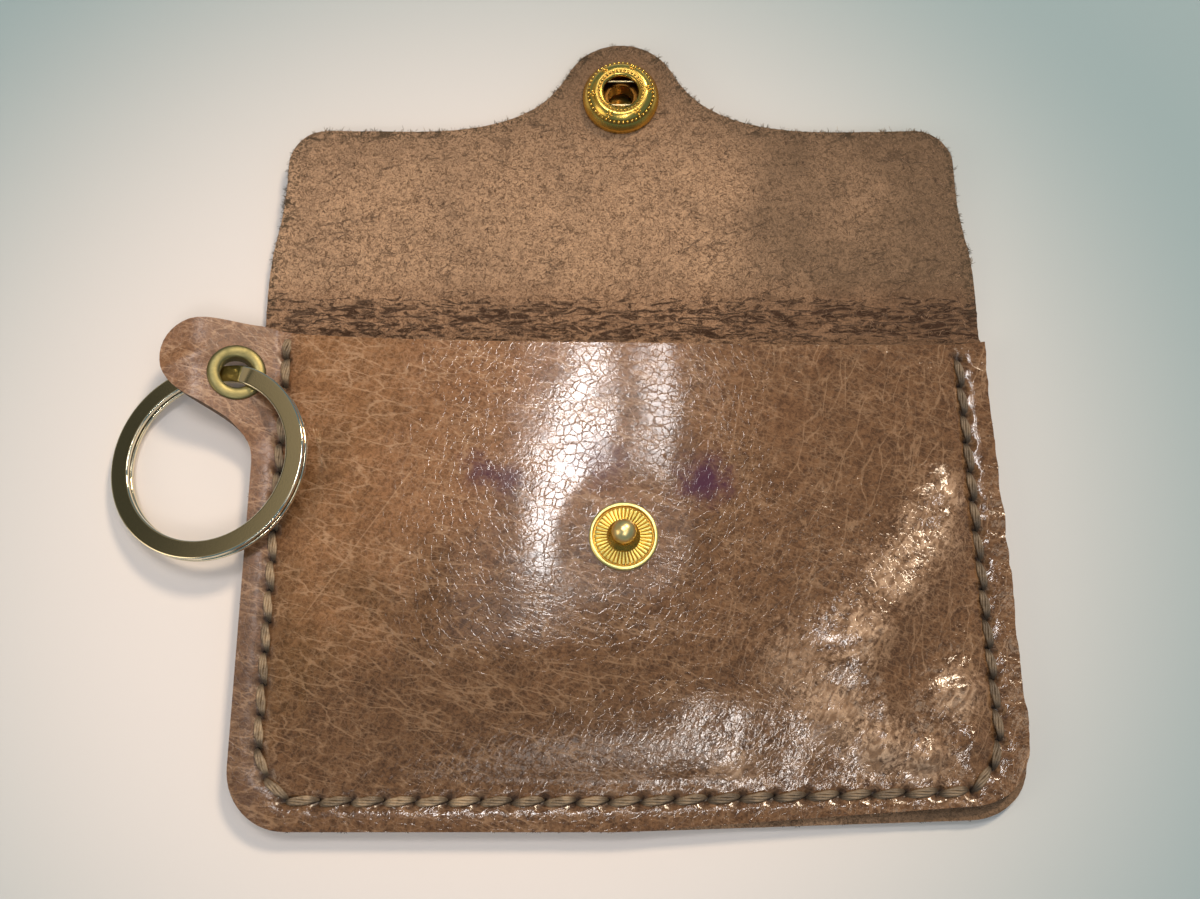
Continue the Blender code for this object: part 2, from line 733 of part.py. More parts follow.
def stud(material):
    """Flange with a raised rim, a bell-shaped neck and a ball, hollow from below."""
    rim_inner = STUD_RADIUS - STUD_RIM
    rounding = STUD_RIM * STUD_RIM_ROUND_SHARE
    ball_low = math.asin(NECK_RADIUS / BALL_RADIUS)
    ball = [
        (BALL_RADIUS * math.sin(angle), BALL_RISE - BALL_RADIUS * math.cos(angle))
        for angle in even_steps(ball_low, math.pi, BALL_STEPS)
    ]
    ball[-1] = (0, BALL_RISE + BALL_RADIUS)
    bore = STUD_POST_HOLE
    profile = [
        (bore, 0), (STUD_RADIUS, 0), (STUD_RADIUS, STUD_RIM_RISE / 2),
        (STUD_RADIUS - rounding, STUD_RIM_RISE), (rim_inner + rounding, STUD_RIM_RISE),
        (rim_inner, STUD_DISH_RISE), (BELL_RADIUS, STUD_DISH_RISE),
        (BELL_RADIUS - SHEET, BELL_RISE), (NECK_RADIUS, NECK_RISE), *ball,
        (0, STUD_POST_LENGTH + SNAP_PLAY), (NECK_RADIUS - SHEET, STUD_POST_LENGTH + SNAP_PLAY),
        (NECK_RADIUS - SHEET, NECK_RISE - SHEET), (bore, BELL_RISE - SHEET),
    ]
    mesh = mesh_from("stud", turned(profile, SNAP_STEPS), smooth=True)
    place = Matrix.Translation((0, STUD_Y, PLATEAU + LEATHER + SEAT_GAP))
    return add_object("stud", mesh, material, place)


def stud_post(material):
    """The rivet that holds the stud: a flat head on the leather's inner side and a hollow shank."""
    low = STUD_POST_SUNK - STUD_POST_HEAD_HEIGHT
    high = STUD_POST_SUNK
    top = LEATHER + SEAT_GAP + BELL_RISE - SHEET - HOLE_CLEAR
    profile = [
        (0, low), (STUD_POST_HEAD, low), (STUD_POST_HEAD, high), (STUD_POST_RADIUS, high),
        (STUD_POST_RADIUS, top), (0, top),
    ]
    mesh = mesh_from("stud_post", turned(profile, SNAP_STEPS), smooth=True)
    return add_object("stud_post", mesh, material, Matrix.Translation((0, STUD_Y, PLATEAU)))


# Eyelet and ring

def eyelet_centre():
    """Middle of the tab's thickness, where the eyelet's axis goes through it."""
    x = -HALF_WIDTH - EYELET_OUTWARD
    y = TOP - EYELET_DOWN
    rise = LEATHER / 2 / math.cos(TAB_SLOPE)
    return Vector((x, y, front_height(x, y) + rise))


def eyelet_place():
    """The eyelet stands square to the slanting tab."""
    return Matrix.Translation(eyelet_centre()) @ Matrix.Rotation(TAB_SLOPE, 4, "Y")


def tab_eyelet(material):
    top = LEATHER / 2 + SEAT_GAP
    crown = top + EYELET_RISE
    low = -LEATHER / 2 - SEAT_GAP - WASHER_SHEET - SEAT_GAP
    barrel = EYELET_BORE + EYELET_WALL
    roll = (barrel + EYELET_RADIUS) / 2
    foot, shoulder = [top + share * EYELET_RISE for share in EYELET_RISE_SHARES]
    profile = [
        (EYELET_BORE, low), (EYELET_BORE, LEATHER / 2),
        ((EYELET_BORE + barrel) / 2, foot), (barrel, shoulder), (roll - EYELET_WALL / 2, crown),
        (roll + EYELET_WALL / 2, crown), (EYELET_RADIUS - EYELET_WALL, shoulder),
        (EYELET_RADIUS, foot), (EYELET_RADIUS, top), (barrel, top),
        (barrel, low), (ROLL_RADIUS, low), (ROLL_RADIUS, low - ROLL_SHEET),
        (barrel, low - ROLL_SHEET),
    ]
    mesh = mesh_from("tab_eyelet", turned(profile, EYELET_STEPS), smooth=True)
    return add_object("tab_eyelet", mesh, material, eyelet_place())


def eyelet_washer(material):
    high = -LEATHER / 2 - SEAT_GAP
    low = high - WASHER_SHEET
    hole = EYELET_BORE + EYELET_WALL + WASHER_CLEAR
    profile = [(hole, low), (WASHER_RADIUS, low), (WASHER_RADIUS, high), (hole, high)]
    mesh = mesh_from("eyelet_washer", turned(profile, EYELET_STEPS), smooth=True)
    return add_object("eyelet_washer", mesh, material, eyelet_place())


def ring_place():
    """The ring's own frame: X from its centre to the eyelet, Z out of its plane, left side down."""
    along = Vector((math.cos(RING_BEARING), math.sin(RING_BEARING), 0))
    left = Vector((-along.y, along.x, 0)) * math.cos(RING_TILT) - Vector((0, 0, math.sin(RING_TILT)))
    frame = Matrix((along, left, along.cross(left))).transposed().to_4x4()
    centre = eyelet_centre() - along * (RING_DIAMETER - WIRE_WIDTH) / 2
    return Matrix.Translation(centre) @ frame


def wire_level(angle):
    """Height of the wire's middle: the upper turn, then the step down at the eyelet."""
    step_angle = STEP_LENGTH / ((RING_DIAMETER - WIRE_WIDTH) / 2)
    share = (angle - 2 * math.pi) / step_angle + 1 / 2
    return (WIRE_THICKNESS + COIL_GAP) * (1 / 2 - smooth_step(share))


def ring_angles():
    """Angles along the wire from one end to the other, closer together in the step."""
    middle = (RING_DIAMETER - WIRE_WIDTH) / 2
    step_half = STEP_LENGTH / 2 / middle
    end = (STEP_LENGTH / 2 + STEP_CLEAR) / middle
    full = 2 * math.pi
    first = even_steps(end, full - step_half, TURN_STEPS)
    step = even_steps(full - step_half, full + step_half, CORNER_STEPS)
    return first + step[1:] + even_steps(full + step_half, 2 * full - end, TURN_STEPS)[1:]


def split_ring(material, hinge):
    inner = RING_DIAMETER / 2 - WIRE_WIDTH
    outer = RING_DIAMETER / 2
    half = WIRE_THICKNESS / 2
    inside = half - WIRE_CHAMFER
    section = [
        (inner, -inside), (inner + WIRE_CHAMFER, -half), (outer - WIRE_CHAMFER, -half),
        (outer, -inside), (outer, inside), (outer - WIRE_CHAMFER, half),
        (inner + WIRE_CHAMFER, half), (inner, inside),
    ]
    bm = bmesh.new()
    loops = []
    for angle in ring_angles():
        level = wire_level(angle)
        loops.append([
            bm.verts.new((radius * math.cos(angle), radius * math.sin(angle), level + height))
            for radius, height in section
        ])
    for before, after in zip(loops, loops[1:]):
        for i in range(len(section)):
            bm.faces.new((before[i - 1], before[i], after[i], after[i - 1]))
    bm.faces.new(loops[0])
    bm.faces.new(loops[-1])
    bmesh.ops.recalc_face_normals(bm, faces=bm.faces)
    place = hinge.matrix_world.inverted() @ ring_place()
    return add_object("split_ring", mesh_from("split_ring", bm), material, place, hinge)


def coil_gap():
    """Least gap between the two turns, measured at the points of the wire."""
    full = 2 * math.pi
    last = ring_angles()[-1]
    gaps = [
        wire_level(angle) - wire_level(angle + full) - WIRE_THICKNESS
        for angle in ring_angles() if angle + full <= last
    ]
    return min(gaps)


def build():
    clear_scene()
    made = {name: finish(name) for name in FINISHES}

    tilt = Matrix.Rotation(resting_tilt(), 4, "X")
    flap_hinge = add_empty("flap_hinge", Matrix.Translation((0, FOLD_Y, FOLD_Z)) @ tilt)
    ring_hinge = add_empty("ring_hinge", eyelet_place())

    back_panel(made["grain_leather"])
    front_panel(made["grain_leather"])
    saddle_thread(made["waxed_thread"])
    flap(made["suede"], flap_hinge)
    socket_shell(made["brass"], flap_hinge)
    socket_plate(made["worn_brass"], flap_hinge)
    socket_spring(made["spring_wire"], flap_hinge)
    snap_cap_post(made["worn_brass"], flap_hinge)
    snap_cap_shell(made["brass"], flap_hinge)
    stud(made["brass"])
    stud_post(made["worn_brass"])
    tab_eyelet(made["worn_brass"])
    eyelet_washer(made["worn_brass"])
    split_ring(made["plated_steel"], ring_hinge)
    print(f"least gap between the ring's turns: {coil_gap():.5f} m")
    print(f"stitches: {len(seam_points()) - 1}, flap rests at {math.degrees(resting_tilt()):.2f} degrees")
    print(f"fold axis at y {FOLD_Y:.5f}, z {FOLD_Z:.5f}; eyelet at", *eyelet_centre())


build()
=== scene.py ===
"""Looks of the open card wallet: leather, stitches, snap, eyelet and split ring, round the CAD frame.

X runs to the right, Y towards the flap and Z up. All lengths are in metres.
"""

import json
import math
import random

import bmesh
import bpy
from mathutils import Matrix, Vector, kdtree, noise


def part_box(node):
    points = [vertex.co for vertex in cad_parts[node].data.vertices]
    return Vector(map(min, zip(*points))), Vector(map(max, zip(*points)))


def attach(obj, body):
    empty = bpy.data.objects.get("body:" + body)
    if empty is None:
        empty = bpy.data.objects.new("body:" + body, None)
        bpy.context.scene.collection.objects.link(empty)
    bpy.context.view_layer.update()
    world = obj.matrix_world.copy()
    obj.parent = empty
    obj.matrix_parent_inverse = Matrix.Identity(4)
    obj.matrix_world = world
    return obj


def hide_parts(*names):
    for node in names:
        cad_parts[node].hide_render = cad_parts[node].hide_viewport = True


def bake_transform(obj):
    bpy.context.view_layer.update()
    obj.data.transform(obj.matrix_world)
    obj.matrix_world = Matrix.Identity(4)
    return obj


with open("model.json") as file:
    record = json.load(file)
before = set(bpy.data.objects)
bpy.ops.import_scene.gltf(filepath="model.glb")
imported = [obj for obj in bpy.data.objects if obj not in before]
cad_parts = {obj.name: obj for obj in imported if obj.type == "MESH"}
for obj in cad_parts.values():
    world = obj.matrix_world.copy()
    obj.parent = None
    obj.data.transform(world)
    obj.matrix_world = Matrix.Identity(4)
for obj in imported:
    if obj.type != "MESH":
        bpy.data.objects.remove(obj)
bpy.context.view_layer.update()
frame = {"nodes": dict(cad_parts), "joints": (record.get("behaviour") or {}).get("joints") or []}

joints = {joint["name"]: joint for joint in frame["joints"]}


def smooth_step(share):
    share = max(0.0, min(1.0, share))
    return share * share * (3 - 2 * share)


def soft_ramp(distance, width):
    """Zero below the start, then a straight line, rounded where the two meet over the given width."""
    if distance <= 0:
        return 0.0
    if distance < width:
        return distance * distance / (2 * width)
    return distance - width / 2


def hump(distance, width):
    """A soft bump, 1 at its middle, that has faded to a third at the given distance."""
    return math.exp(-(distance / width) ** 2)


# Sizes that the frame gives

back_low, back_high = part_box("back_panel")
LEATHER = back_high.z - back_low.z
HALF_WIDTH = -back_low.x
BOTTOM = back_low.y
TOP = -BOTTOM

FOLD = Vector(joints["flap_fold"]["pos_m"])
flap_side = max(frame["nodes"]["flap"].data.polygons, key=lambda face: face.area).normal
FLAP_TILT = math.atan2(abs(flap_side.y), abs(flap_side.z))
FLAP_PLACE = Matrix.Translation(FOLD) @ Matrix.Rotation(FLAP_TILT, 4, "X")

socket_low, socket_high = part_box("socket_shell")
SOCKET_Y = (FLAP_PLACE.inverted() @ ((socket_low + socket_high) / 2)).y
SOCKET_RADIUS = (socket_high.x - socket_low.x) / 2
SOCKET_PLACE = FLAP_PLACE @ Matrix.Translation((0, SOCKET_Y, LEATHER - FOLD.z))

stud_low, stud_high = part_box("stud")
STUD = Vector((0, (stud_low.y + stud_high.y) / 2, stud_low.z))
STUD_RADIUS = (stud_high.x - stud_low.x) / 2

EYELET = Vector(joints["ring_swing"]["pos_m"])
EYELET_UP = -Vector(joints["ring_swing"]["axis"]).normalized()
TAB_SLOPE = math.atan2(EYELET_UP.x, EYELET_UP.z)
EYELET_PLACE = Matrix.Translation(EYELET) @ Matrix.Rotation(TAB_SLOPE, 4, "Y")

ring_low, ring_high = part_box("split_ring")
RING_DIAMETER = ring_high.y - ring_low.y

# Leather panels, as they were cut
SEAM_GAP = 0.0002
CORNER_RADIUS = 0.0085
RIGHT_LEAN = 0.0018
BOTTOM_LEAN = 0.0018
FRONT_TRIM = 0.0019
MOUTH_DIP = 0.0029
MOUTH_RISE = 0.0022
MOUTH_PULL = 0.0300
ARC_STEPS = 14
CURVE_STEPS = 24
GRID = 0.00058
FINE_GRID = 0.00025
FINE_REACH = 0.0018
FOLD_GRID = 0.00028
FOLD_FINE = 0.0048
WELD = 0.000001
SUPPORT = 0.00006
SHORTEST_FLAT = SUPPORT * 2.5
CORNER_STEPS = 4
CORNER_SHARE = 0.45
WALL_CUTS = 3

# Pocket's rise over the seam, and the slope along it
POCKET_ROOM = 0.0044
RAMP_START = 0.0017
RAMP_EASE = 0.0022
FOOT_RAMP = 0.0190
FRONT_LEVEL = LEATHER + SEAM_GAP

# Tab with the eyelet
TAB_REACH = 0.01385
TAB_RADIUS = 0.00595
TAB_ABOVE = 0.0028
TAB_ROOT = 0.0188
TAB_BEND = 0.0021
TAB_BEND_WIDTH = 0.0010
TAB_LEVEL = 0.0096
TAB_LEVEL_WIDTH = 0.0022
TAB_FADE = 0.0060
TAB_END_ANGLE = math.radians(230)
TAB_TOP_PULL = 0.0030

# Flap, measured along itself from the fold's axis
SHOULDER_LENGTH = 0.0302
SHOULDER_HALF = 0.0522
SHOULDER_RADIUS = 0.0060
SHOULDER_INNER = 0.0335
SHOULDER_PULL = 0.0150
FLAP_SIDE_PULL = 0.0130
TONGUE_RADIUS = 0.0094
TONGUE_END_ANGLE = math.radians(28)
TONGUE_PULL = 0.0075
FOLD_KNEE = 0.0080

# Seam
SEAM_MARGIN = 0.0040
SEAM_CORNER = 0.0045
SEAM_TOP = 0.0026
STITCH_PITCH = 0.0044


def lean(x, y):
    """Moves a point of a straight panel to where the hand-cut one has it."""
    right_share = max(0.0, min(1.0, x / HALF_WIDTH))
    down_share = max(0.0, min(1.0, (TOP - y) / (TOP - BOTTOM)))
    low_share = max(0.0, min(1.0, -y / TOP))
    return x + RIGHT_LEAN * right_share * down_share, y + BOTTOM_LEAN * right_share * low_share


# Meshes

def bezier(start, start_pull, end_pull, end, steps):
    """Points of a cubic curve, without its last one."""
    points = []
    for step in range(steps):
        t = step / steps
        points.append(
            start * (1 - t) ** 3 + start_pull * (3 * t * (1 - t) ** 2)
            + end_pull * (3 * t * t * (1 - t)) + end * t ** 3
        )
    return points


def arc(centre, radius, first, last):
    """Points of an arc, both ends included."""
    return [
        centre + radius * Vector((math.cos(angle), math.sin(angle)))
        for angle in even_steps(first, last, ARC_STEPS)
    ]


def even_steps(first, last, count):
    return [first + (last - first) * step / count for step in range(count + 1)]


def add_piece(name, mesh, body, materials, replaces=()):
    """Links a finished mesh as a piece that rides on a body."""
    piece = bpy.data.objects.new(name, mesh)
    bpy.context.scene.collection.objects.link(piece)
    for material in materials:
        mesh.materials.append(material)
    if body:
        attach(piece, body)
    if replaces:
        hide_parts(*replaces)
    return piece


def mesh_from(name, bm, sharp_degrees):
    """A smooth-shaded mesh that is sharp where its faces meet at more than an angle."""
    mesh = bpy.data.meshes.new(name)
    bm.to_mesh(mesh)
    bm.free()
    mesh.shade_smooth()
    mesh.set_sharp_from_angle(angle=math.radians(sharp_degrees))
    return mesh


def turned(profile, steps, place=Matrix.Identity(4)):
    """A closed profile of (radius, height) points spun round Z. It may touch the axis."""
    bm = bmesh.new()
    ring = [bm.verts.new((radius, 0, height)) for radius, height in profile]
    pairs = [(ring[i - 1], ring[i]) for i in range(len(ring))]
    edges = [bm.edges.new(pair) for pair in pairs if pair[0].co.x > 0 or pair[1].co.x > 0]
    bmesh.ops.spin(
        bm, geom=ring + edges, cent=(0, 0, 0), axis=(0, 0, 1),
        angle=2 * math.pi, steps=steps, use_merge=True,
    )
    bmesh.ops.remove_doubles(bm, verts=bm.verts, dist=WELD)
    bmesh.ops.recalc_face_normals(bm, faces=bm.faces)
    bmesh.ops.transform(bm, matrix=place, verts=bm.verts)
    return bm


def rounded(profile, radius):
    """The closed profile with each corner replaced by a short curve of about that radius."""
    points = [Vector(point) for point in profile]
    made = []
    for i, corner in enumerate(points):
        before = points[i - 1] - corner
        after = points[(i + 1) % len(points)] - corner
        if corner.x <= WELD or before.length < WELD or after.length < WELD:
            made.append(corner)
            continue
        start = corner + before.normalized() * min(radius, before.length * CORNER_SHARE)
        end = corner + after.normalized() * min(radius, after.length * CORNER_SHARE)
        for t in even_steps(0, 1, CORNER_STEPS):
            made.append(start * (1 - t) ** 2 + corner * (2 * t * (1 - t)) + end * t * t)
    return [(point.x, point.y) for point in made]


def with_support(profile):
    """The closed profile with a point near both ends of each flat, which keeps its shading flat."""
    made = []
    for i, start in enumerate(profile):
        end = profile[(i + 1) % len(profile)]
        run = Vector(end) - Vector(start)
        made.append(start)
        if run.length > SHORTEST_FLAT:
            near = run.normalized() * SUPPORT
            made += [tuple(Vector(start) + near), tuple(Vector(end) - near)]
    return made


def wires(name, runs, diameter, sides_over_four):
    """One mesh of closed round wires. Each run is a list of (point, share of the diameter)."""
    curve = bpy.data.curves.new(name, "CURVE")
    curve.dimensions = "3D"
    curve.bevel_depth = diameter / 2
    curve.bevel_resolution = sides_over_four
    curve.use_fill_caps = True
    for run in runs:
        spline = curve.splines.new("POLY")
        spline.points.add(len(run) - 1)
        for place, (point, share) in zip(spline.points, run):
            place.co = (*point, 1.0)
            place.radius = share
    helper = bpy.data.objects.new(name, curve)
    bpy.context.scene.collection.objects.link(helper)
    bpy.context.view_layer.update()
    mesh = bpy.data.meshes.new_from_object(helper.evaluated_get(bpy.context.evaluated_depsgraph_get()))
    bpy.data.objects.remove(helper)
    bpy.data.curves.remove(curve)
    bm = bmesh.new()
    bm.from_mesh(mesh)
    bpy.data.meshes.remove(mesh)
    bmesh.ops.remove_doubles(bm, verts=bm.verts, dist=WELD)
    bmesh.ops.recalc_face_normals(bm, faces=bm.faces)
    return mesh_from(name, bm, 70)


# Seam

def seam_path():
    """Corner points of the stitched line, from the right end of the mouth round to the left."""
    side = HALF_WIDTH - SEAM_MARGIN
    foot = BOTTOM + SEAM_MARGIN
    right = [(side, TOP - SEAM_TOP), (side, foot + SEAM_CORNER), (side - SEAM_CORNER, foot)]
    return [Vector(point) for point in right] + [Vector((-x, y)) for x, y in reversed(right)]


SEAM = seam_path()
SEAM_LENGTHS = [(SEAM[i + 1] - SEAM[i]).length for i in range(len(SEAM) - 1)]
STITCHES = round(sum(SEAM_LENGTHS) / STITCH_PITCH)
PITCH = sum(SEAM_LENGTHS) / STITCHES


def seam_points():
    """Places and directions of the stitch holes, evenly spaced along the stitched line."""
    found = []
    for hole in range(STITCHES + 1):
        left = PITCH * hole
        run = 0
        while run < len(SEAM_LENGTHS) - 1 and left > SEAM_LENGTHS[run]:
            left -= SEAM_LENGTHS[run]
            run += 1
        along = (SEAM[run + 1] - SEAM[run]).normalized()
        found.append((SEAM[run] + along * left, along))
    return found


HOLES = seam_points()
HOLE_REACH = 0.0025
HOLE_SLANT_SHARE = 0.55
HOLE_HALF_LENGTH = 0.00092
HOLE_HALF_WIDTH = 0.00048


def seam_place(x, y):
    """Distance of a point from the stitched line, and how far along the line it lies."""
    best = (1.0, 0.0)
    run = 0.0
    for i, length in enumerate(SEAM_LENGTHS):
        along = (SEAM[i + 1] - SEAM[i]) / length
        reach = Vector((x, y)) - SEAM[i]
        share = max(0.0, min(length, reach.dot(along)))
        distance = (reach - along * share).length
        if distance < best[0]:
            best = (distance, run + share)
        run += length
    return best


def hole_mark(x, y):
    """1 in the middle of a stitch hole, fading to 0 outside it. The holes slant across the seam."""
    distance, run = seam_place(x, y)
    if distance > HOLE_REACH:
        return 0.0
    nearest = min(STITCHES, max(0, round(run / PITCH)))
    centre, along = HOLES[nearest]
    offset = Vector((x, y)) - centre
    across = Vector((-along.y, along.x))
    slant = (across + along * HOLE_SLANT_SHARE).normalized()
    square = Vector((-slant.y, slant.x))
    return hump(offset.dot(slant), HOLE_HALF_LENGTH) * hump(offset.dot(square), HOLE_HALF_WIDTH)


# Heights and relief of the pocket's front

def tab_lift(x, y):
    """Height that the tab gains over the seam, at a point left of the seam."""
    out = -HALF_WIDTH + TAB_BEND - x
    climb = soft_ramp(out + TAB_BEND_WIDTH / 2, TAB_BEND_WIDTH)
    level = soft_ramp(out - TAB_LEVEL, TAB_LEVEL_WIDTH)
    fade = smooth_step((y - TOP + TAB_ROOT) / TAB_FADE)
    return (climb - level) * math.tan(TAB_SLOPE) * fade


def pocket_rise(x, y):
    """Height that the front panel gains over the seam, inside the stitches: a low dome."""
    side = soft_ramp(HALF_WIDTH - SEAM_MARGIN - abs(x), RAMP_EASE)
    foot = soft_ramp(y - BOTTOM - SEAM_MARGIN - RAMP_START, RAMP_EASE)
    across = 1 - (1 - side / (HALF_WIDTH - SEAM_MARGIN)) ** 2
    return POCKET_ROOM * across * (1 - (1 - min(1.0, foot / FOOT_RAMP)) ** 2)


# Swells of the worn pocket: middle, half length, half width, turn in degrees and height
SWELLS = (
    ((0.0316, -0.0117), 0.0047, 0.0041, -5, 0.00161),
    ((0.0354, -0.0074), 0.0047, 0.0037, 0, 0.00131),
    ((0.0390, -0.0030), 0.0047, 0.0037, 5, 0.00127),
    ((0.0430, 0.0017), 0.0044, 0.0034, 12, 0.00114),
    ((0.0462, 0.0069), 0.0039, 0.0030, 18, 0.00099),
    ((0.0476, 0.0114), 0.0034, 0.0028, 22, 0.00103),
    ((0.0459, -0.0178), 0.0065, 0.0030, 14, 0.00123),
    ((0.0346, -0.0184), 0.0026, 0.0028, 8, 0.00106),
    ((0.0346, -0.0243), 0.0026, 0.0026, 0, 0.00149),
    ((0.0402, -0.0262), 0.0024, 0.0024, 8, 0.00150),
    ((0.0285, -0.0208), 0.0030, 0.0026, 0, 0.00102),
    ((0.0469, -0.0241), 0.0024, 0.0024, 15, 0.00150),
    ((0.0145, -0.0260), 0.0060, 0.0034, 86, 0.00018),
    ((0.0030, -0.0290), 0.0022, 0.0018, 80, 0.00014),
    ((-0.0050, -0.0285), 0.0020, 0.0018, 95, 0.00012),
    ((0.0235, -0.0280), 0.0030, 0.0020, 70, 0.00016),
)
SWELL_REACH = 0.0050
BROAD_RELIEF = 0.00008
FINE_RELIEF = 0.00003

# Puckers that the stitches pull into the leather, deepest beside the lower right of the seam
PUCKER_LENGTH = 0.0044
PUCKER_HEIGHT = 0.00022
PUCKER_REACH = 0.0060
PUCKER_START = 0.0300
PUCKER_CALM = 0.0150
PUCKER_CALM_SHARE = 0.7
PUCKER_EASE = 0.0100
PUCKER_RING_SHARE = 0.25
PUCKER_WANDER = 9.0
PUCKER_LEAST = 0.25
PUCKER_SPREAD = 1.1

PINCH_HEIGHT = 0.000014
HOLE_DEPTH = 0.00090
SEAM_SINK = 0.00034
SEAM_SINK_HALF = 0.0011
STUD_FLAT = 0.0052
STUD_EASE = 0.0050
DIMPLE_WIDTH = 0.0050
DIMPLE_DEPTH = 0.00012
EDGE_WAVE = 0.00045
EDGE_WAVE_REACH = 0.0050
RING_SIDE = 0.0440
RING_SIDE_SHARE = 0.35

# Ridge on the tab, given as the swells are
TAB_RIDGE = ((-0.0655, 0.0310), 0.0045, 0.0011, 28, 0.00030)


def swell(x, y, middle, half_length, half_width, degrees, tall):
    """Height that a long low swell adds at a point."""
    turn = math.radians(degrees)
    along = Vector((math.cos(turn), math.sin(turn)))
    offset = Vector((x, y)) - Vector(middle)
    return tall * (hump(offset.dot(along), half_length) * hump(offset.cross(along), half_width))


def inside_reach(x, y):
    """How far a point lies inside the stitched line."""
    return min(HALF_WIDTH - SEAM_MARGIN - abs(x), y - BOTTOM - SEAM_MARGIN)


def front_relief(x, y):
    """What wear and sewing add to the front panel's height."""
    inside = smooth_step(inside_reach(x, y) / SWELL_REACH)
    broad = noise.noise((x * 62, y * 45, 3.1)) * BROAD_RELIEF
    fine = noise.noise((x * 210, y * 160, 7.7)) * FINE_RELIEF
    height = (broad + sum(swell(x, y, *row) for row in SWELLS)) * inside + fine
    distance, run = seam_place(x, y)
    wander = noise.noise((run * 70, 1.3, 0.4)) * PUCKER_WANDER
    strength = PUCKER_LEAST + PUCKER_SPREAD * abs(noise.noise((run * 110, 8.6, 2.4)))
    side_share = smooth_step((x - PUCKER_START) / PUCKER_EASE)
    side_share *= 1 - PUCKER_CALM_SHARE * smooth_step((y - PUCKER_CALM) / PUCKER_EASE)
    if x < -RING_SIDE:
        side_share = PUCKER_RING_SHARE
    pucker = math.sin(2 * math.pi * run / PUCKER_LENGTH + wander)
    near_seam = hump(distance - PUCKER_REACH / 2, PUCKER_REACH)
    height += pucker * PUCKER_HEIGHT * strength * side_share * near_seam
    pinch = noise.noise((x * 150, y * 520, 3.3)) * smooth_step((x - RING_SIDE / 2) / (RING_SIDE / 2))
    height += PINCH_HEIGHT * pinch * inside
    from_stud = (Vector((x, y)) - STUD.xy).length
    height *= smooth_step((from_stud - STUD_FLAT) / STUD_EASE)
    height += DIMPLE_DEPTH * smooth_step((from_stud - STUD_FLAT) / DIMPLE_WIDTH) * inside
    if x < -RING_SIDE:
        height *= RING_SIDE_SHARE
    height -= SEAM_SINK * hump(distance, SEAM_SINK_HALF)
    if x < -HALF_WIDTH:
        height += swell(x, y, *TAB_RIDGE)
    return height


def edge_wave(x, y, seed):
    """Sideways waver of the panels' hand-cut right edge."""
    share = smooth_step((x - HALF_WIDTH + EDGE_WAVE_REACH) / EDGE_WAVE_REACH)
    return EDGE_WAVE * share * (noise.noise((y * 230, seed, 0.5)) + 0.5 * noise.noise((y * 700, seed, 2.5)))


# Panels

def grid_lines(low, high, step, fine_places=()):
    """Places of the cuts between two ends, closer together round the fine places."""
    values = []
    value = low
    while True:
        near = any(abs(value - place) < FINE_REACH for place in fine_places)
        value += FINE_GRID if near else step
        if value > high - step / 2:
            return values
        values.append(value)


def gridded(outline, columns, rows):
    """A flat face with the outline given, cut along straight lines both ways."""
    bm = bmesh.new()
    bm.faces.new([bm.verts.new((x, y, 0)) for x, y in outline])
    for normal, values in ((Vector((0, 1, 0)), rows), (Vector((1, 0, 0)), columns)):
        for value in values:
            geom = [*bm.verts, *bm.edges, *bm.faces]
            bmesh.ops.bisect_plane(
                bm, geom=geom, dist=WELD, plane_co=normal * value, plane_no=normal
            )
    bmesh.ops.triangulate(bm, faces=[face for face in bm.faces if len(face.verts) > 4])
    return bm


def open_hole(bm, centre, radius):
    """Takes away the faces round a point, where a rivet or an eyelet goes through."""
    gone = [
        face for face in bm.faces
        if (face.calc_center_median().xy - centre).length < radius
    ]
    bmesh.ops.delete(bm, geom=gone, context="FACES")


def panel_mesh(name, bm, place, marks):
    """Thickens a gridded face into a panel.

    place gives a point from its x, its y and its share of the thickness; marks gives the named
    attributes of a point. Faces get material 0 above, 1 below and 2 on the cut edge.
    """
    grown = bmesh.ops.extrude_face_region(bm, geom=bm.faces[:])
    raised = [item for item in grown["geom"] if isinstance(item, bmesh.types.BMVert)]
    for vert in raised:
        vert.co.z = 1
    walls = [edge for edge in bm.edges if abs(edge.verts[0].co.z - edge.verts[1].co.z) > 0.5]
    bmesh.ops.subdivide_edges(bm, edges=walls, cuts=WALL_CUTS, use_grid_fill=True)
    bmesh.ops.recalc_face_normals(bm, faces=bm.faces)
    for face in bm.faces:
        low = min(vert.co.z for vert in face.verts)
        high = max(vert.co.z for vert in face.verts)
        face.material_index = 2 if high > low else (0 if high == 1 else 1)
    rim = {vert for face in bm.faces if face.material_index == 2 for vert in face.verts}
    layers = {mark: bm.verts.layers.float.new(mark) for mark in marks}
    flat = bm.verts.layers.float_vector.new("cut_place")
    for vert in bm.verts:
        x, y, share = vert.co
        on_rim = vert in rim
        for mark, value in marks.items():
            vert[layers[mark]] = value(x, y, share)
        vert.co = place(x, y, share, on_rim)
        vert[flat] = vert.co
    return mesh_from(name, bm, 50)


EDGE_ROUND = 0.00016
EDGE_ROUGH = 0.00010
EYELET_HOLE = 0.0031
STUD_HOLE = 0.0016
SOCKET_HOLE = 0.0026


def edge_inset(share):
    """How far the cut edge's top and bottom corners are worn down."""
    return EDGE_ROUND * (1 - smooth_step(min(share, 1 - share) * 4))


def wobble(x, y, z, scale, amount):
    """Small uneven shift of a point on a cut edge."""
    return Vector(noise.noise_vector((x * scale, y * scale, z * scale))) * amount


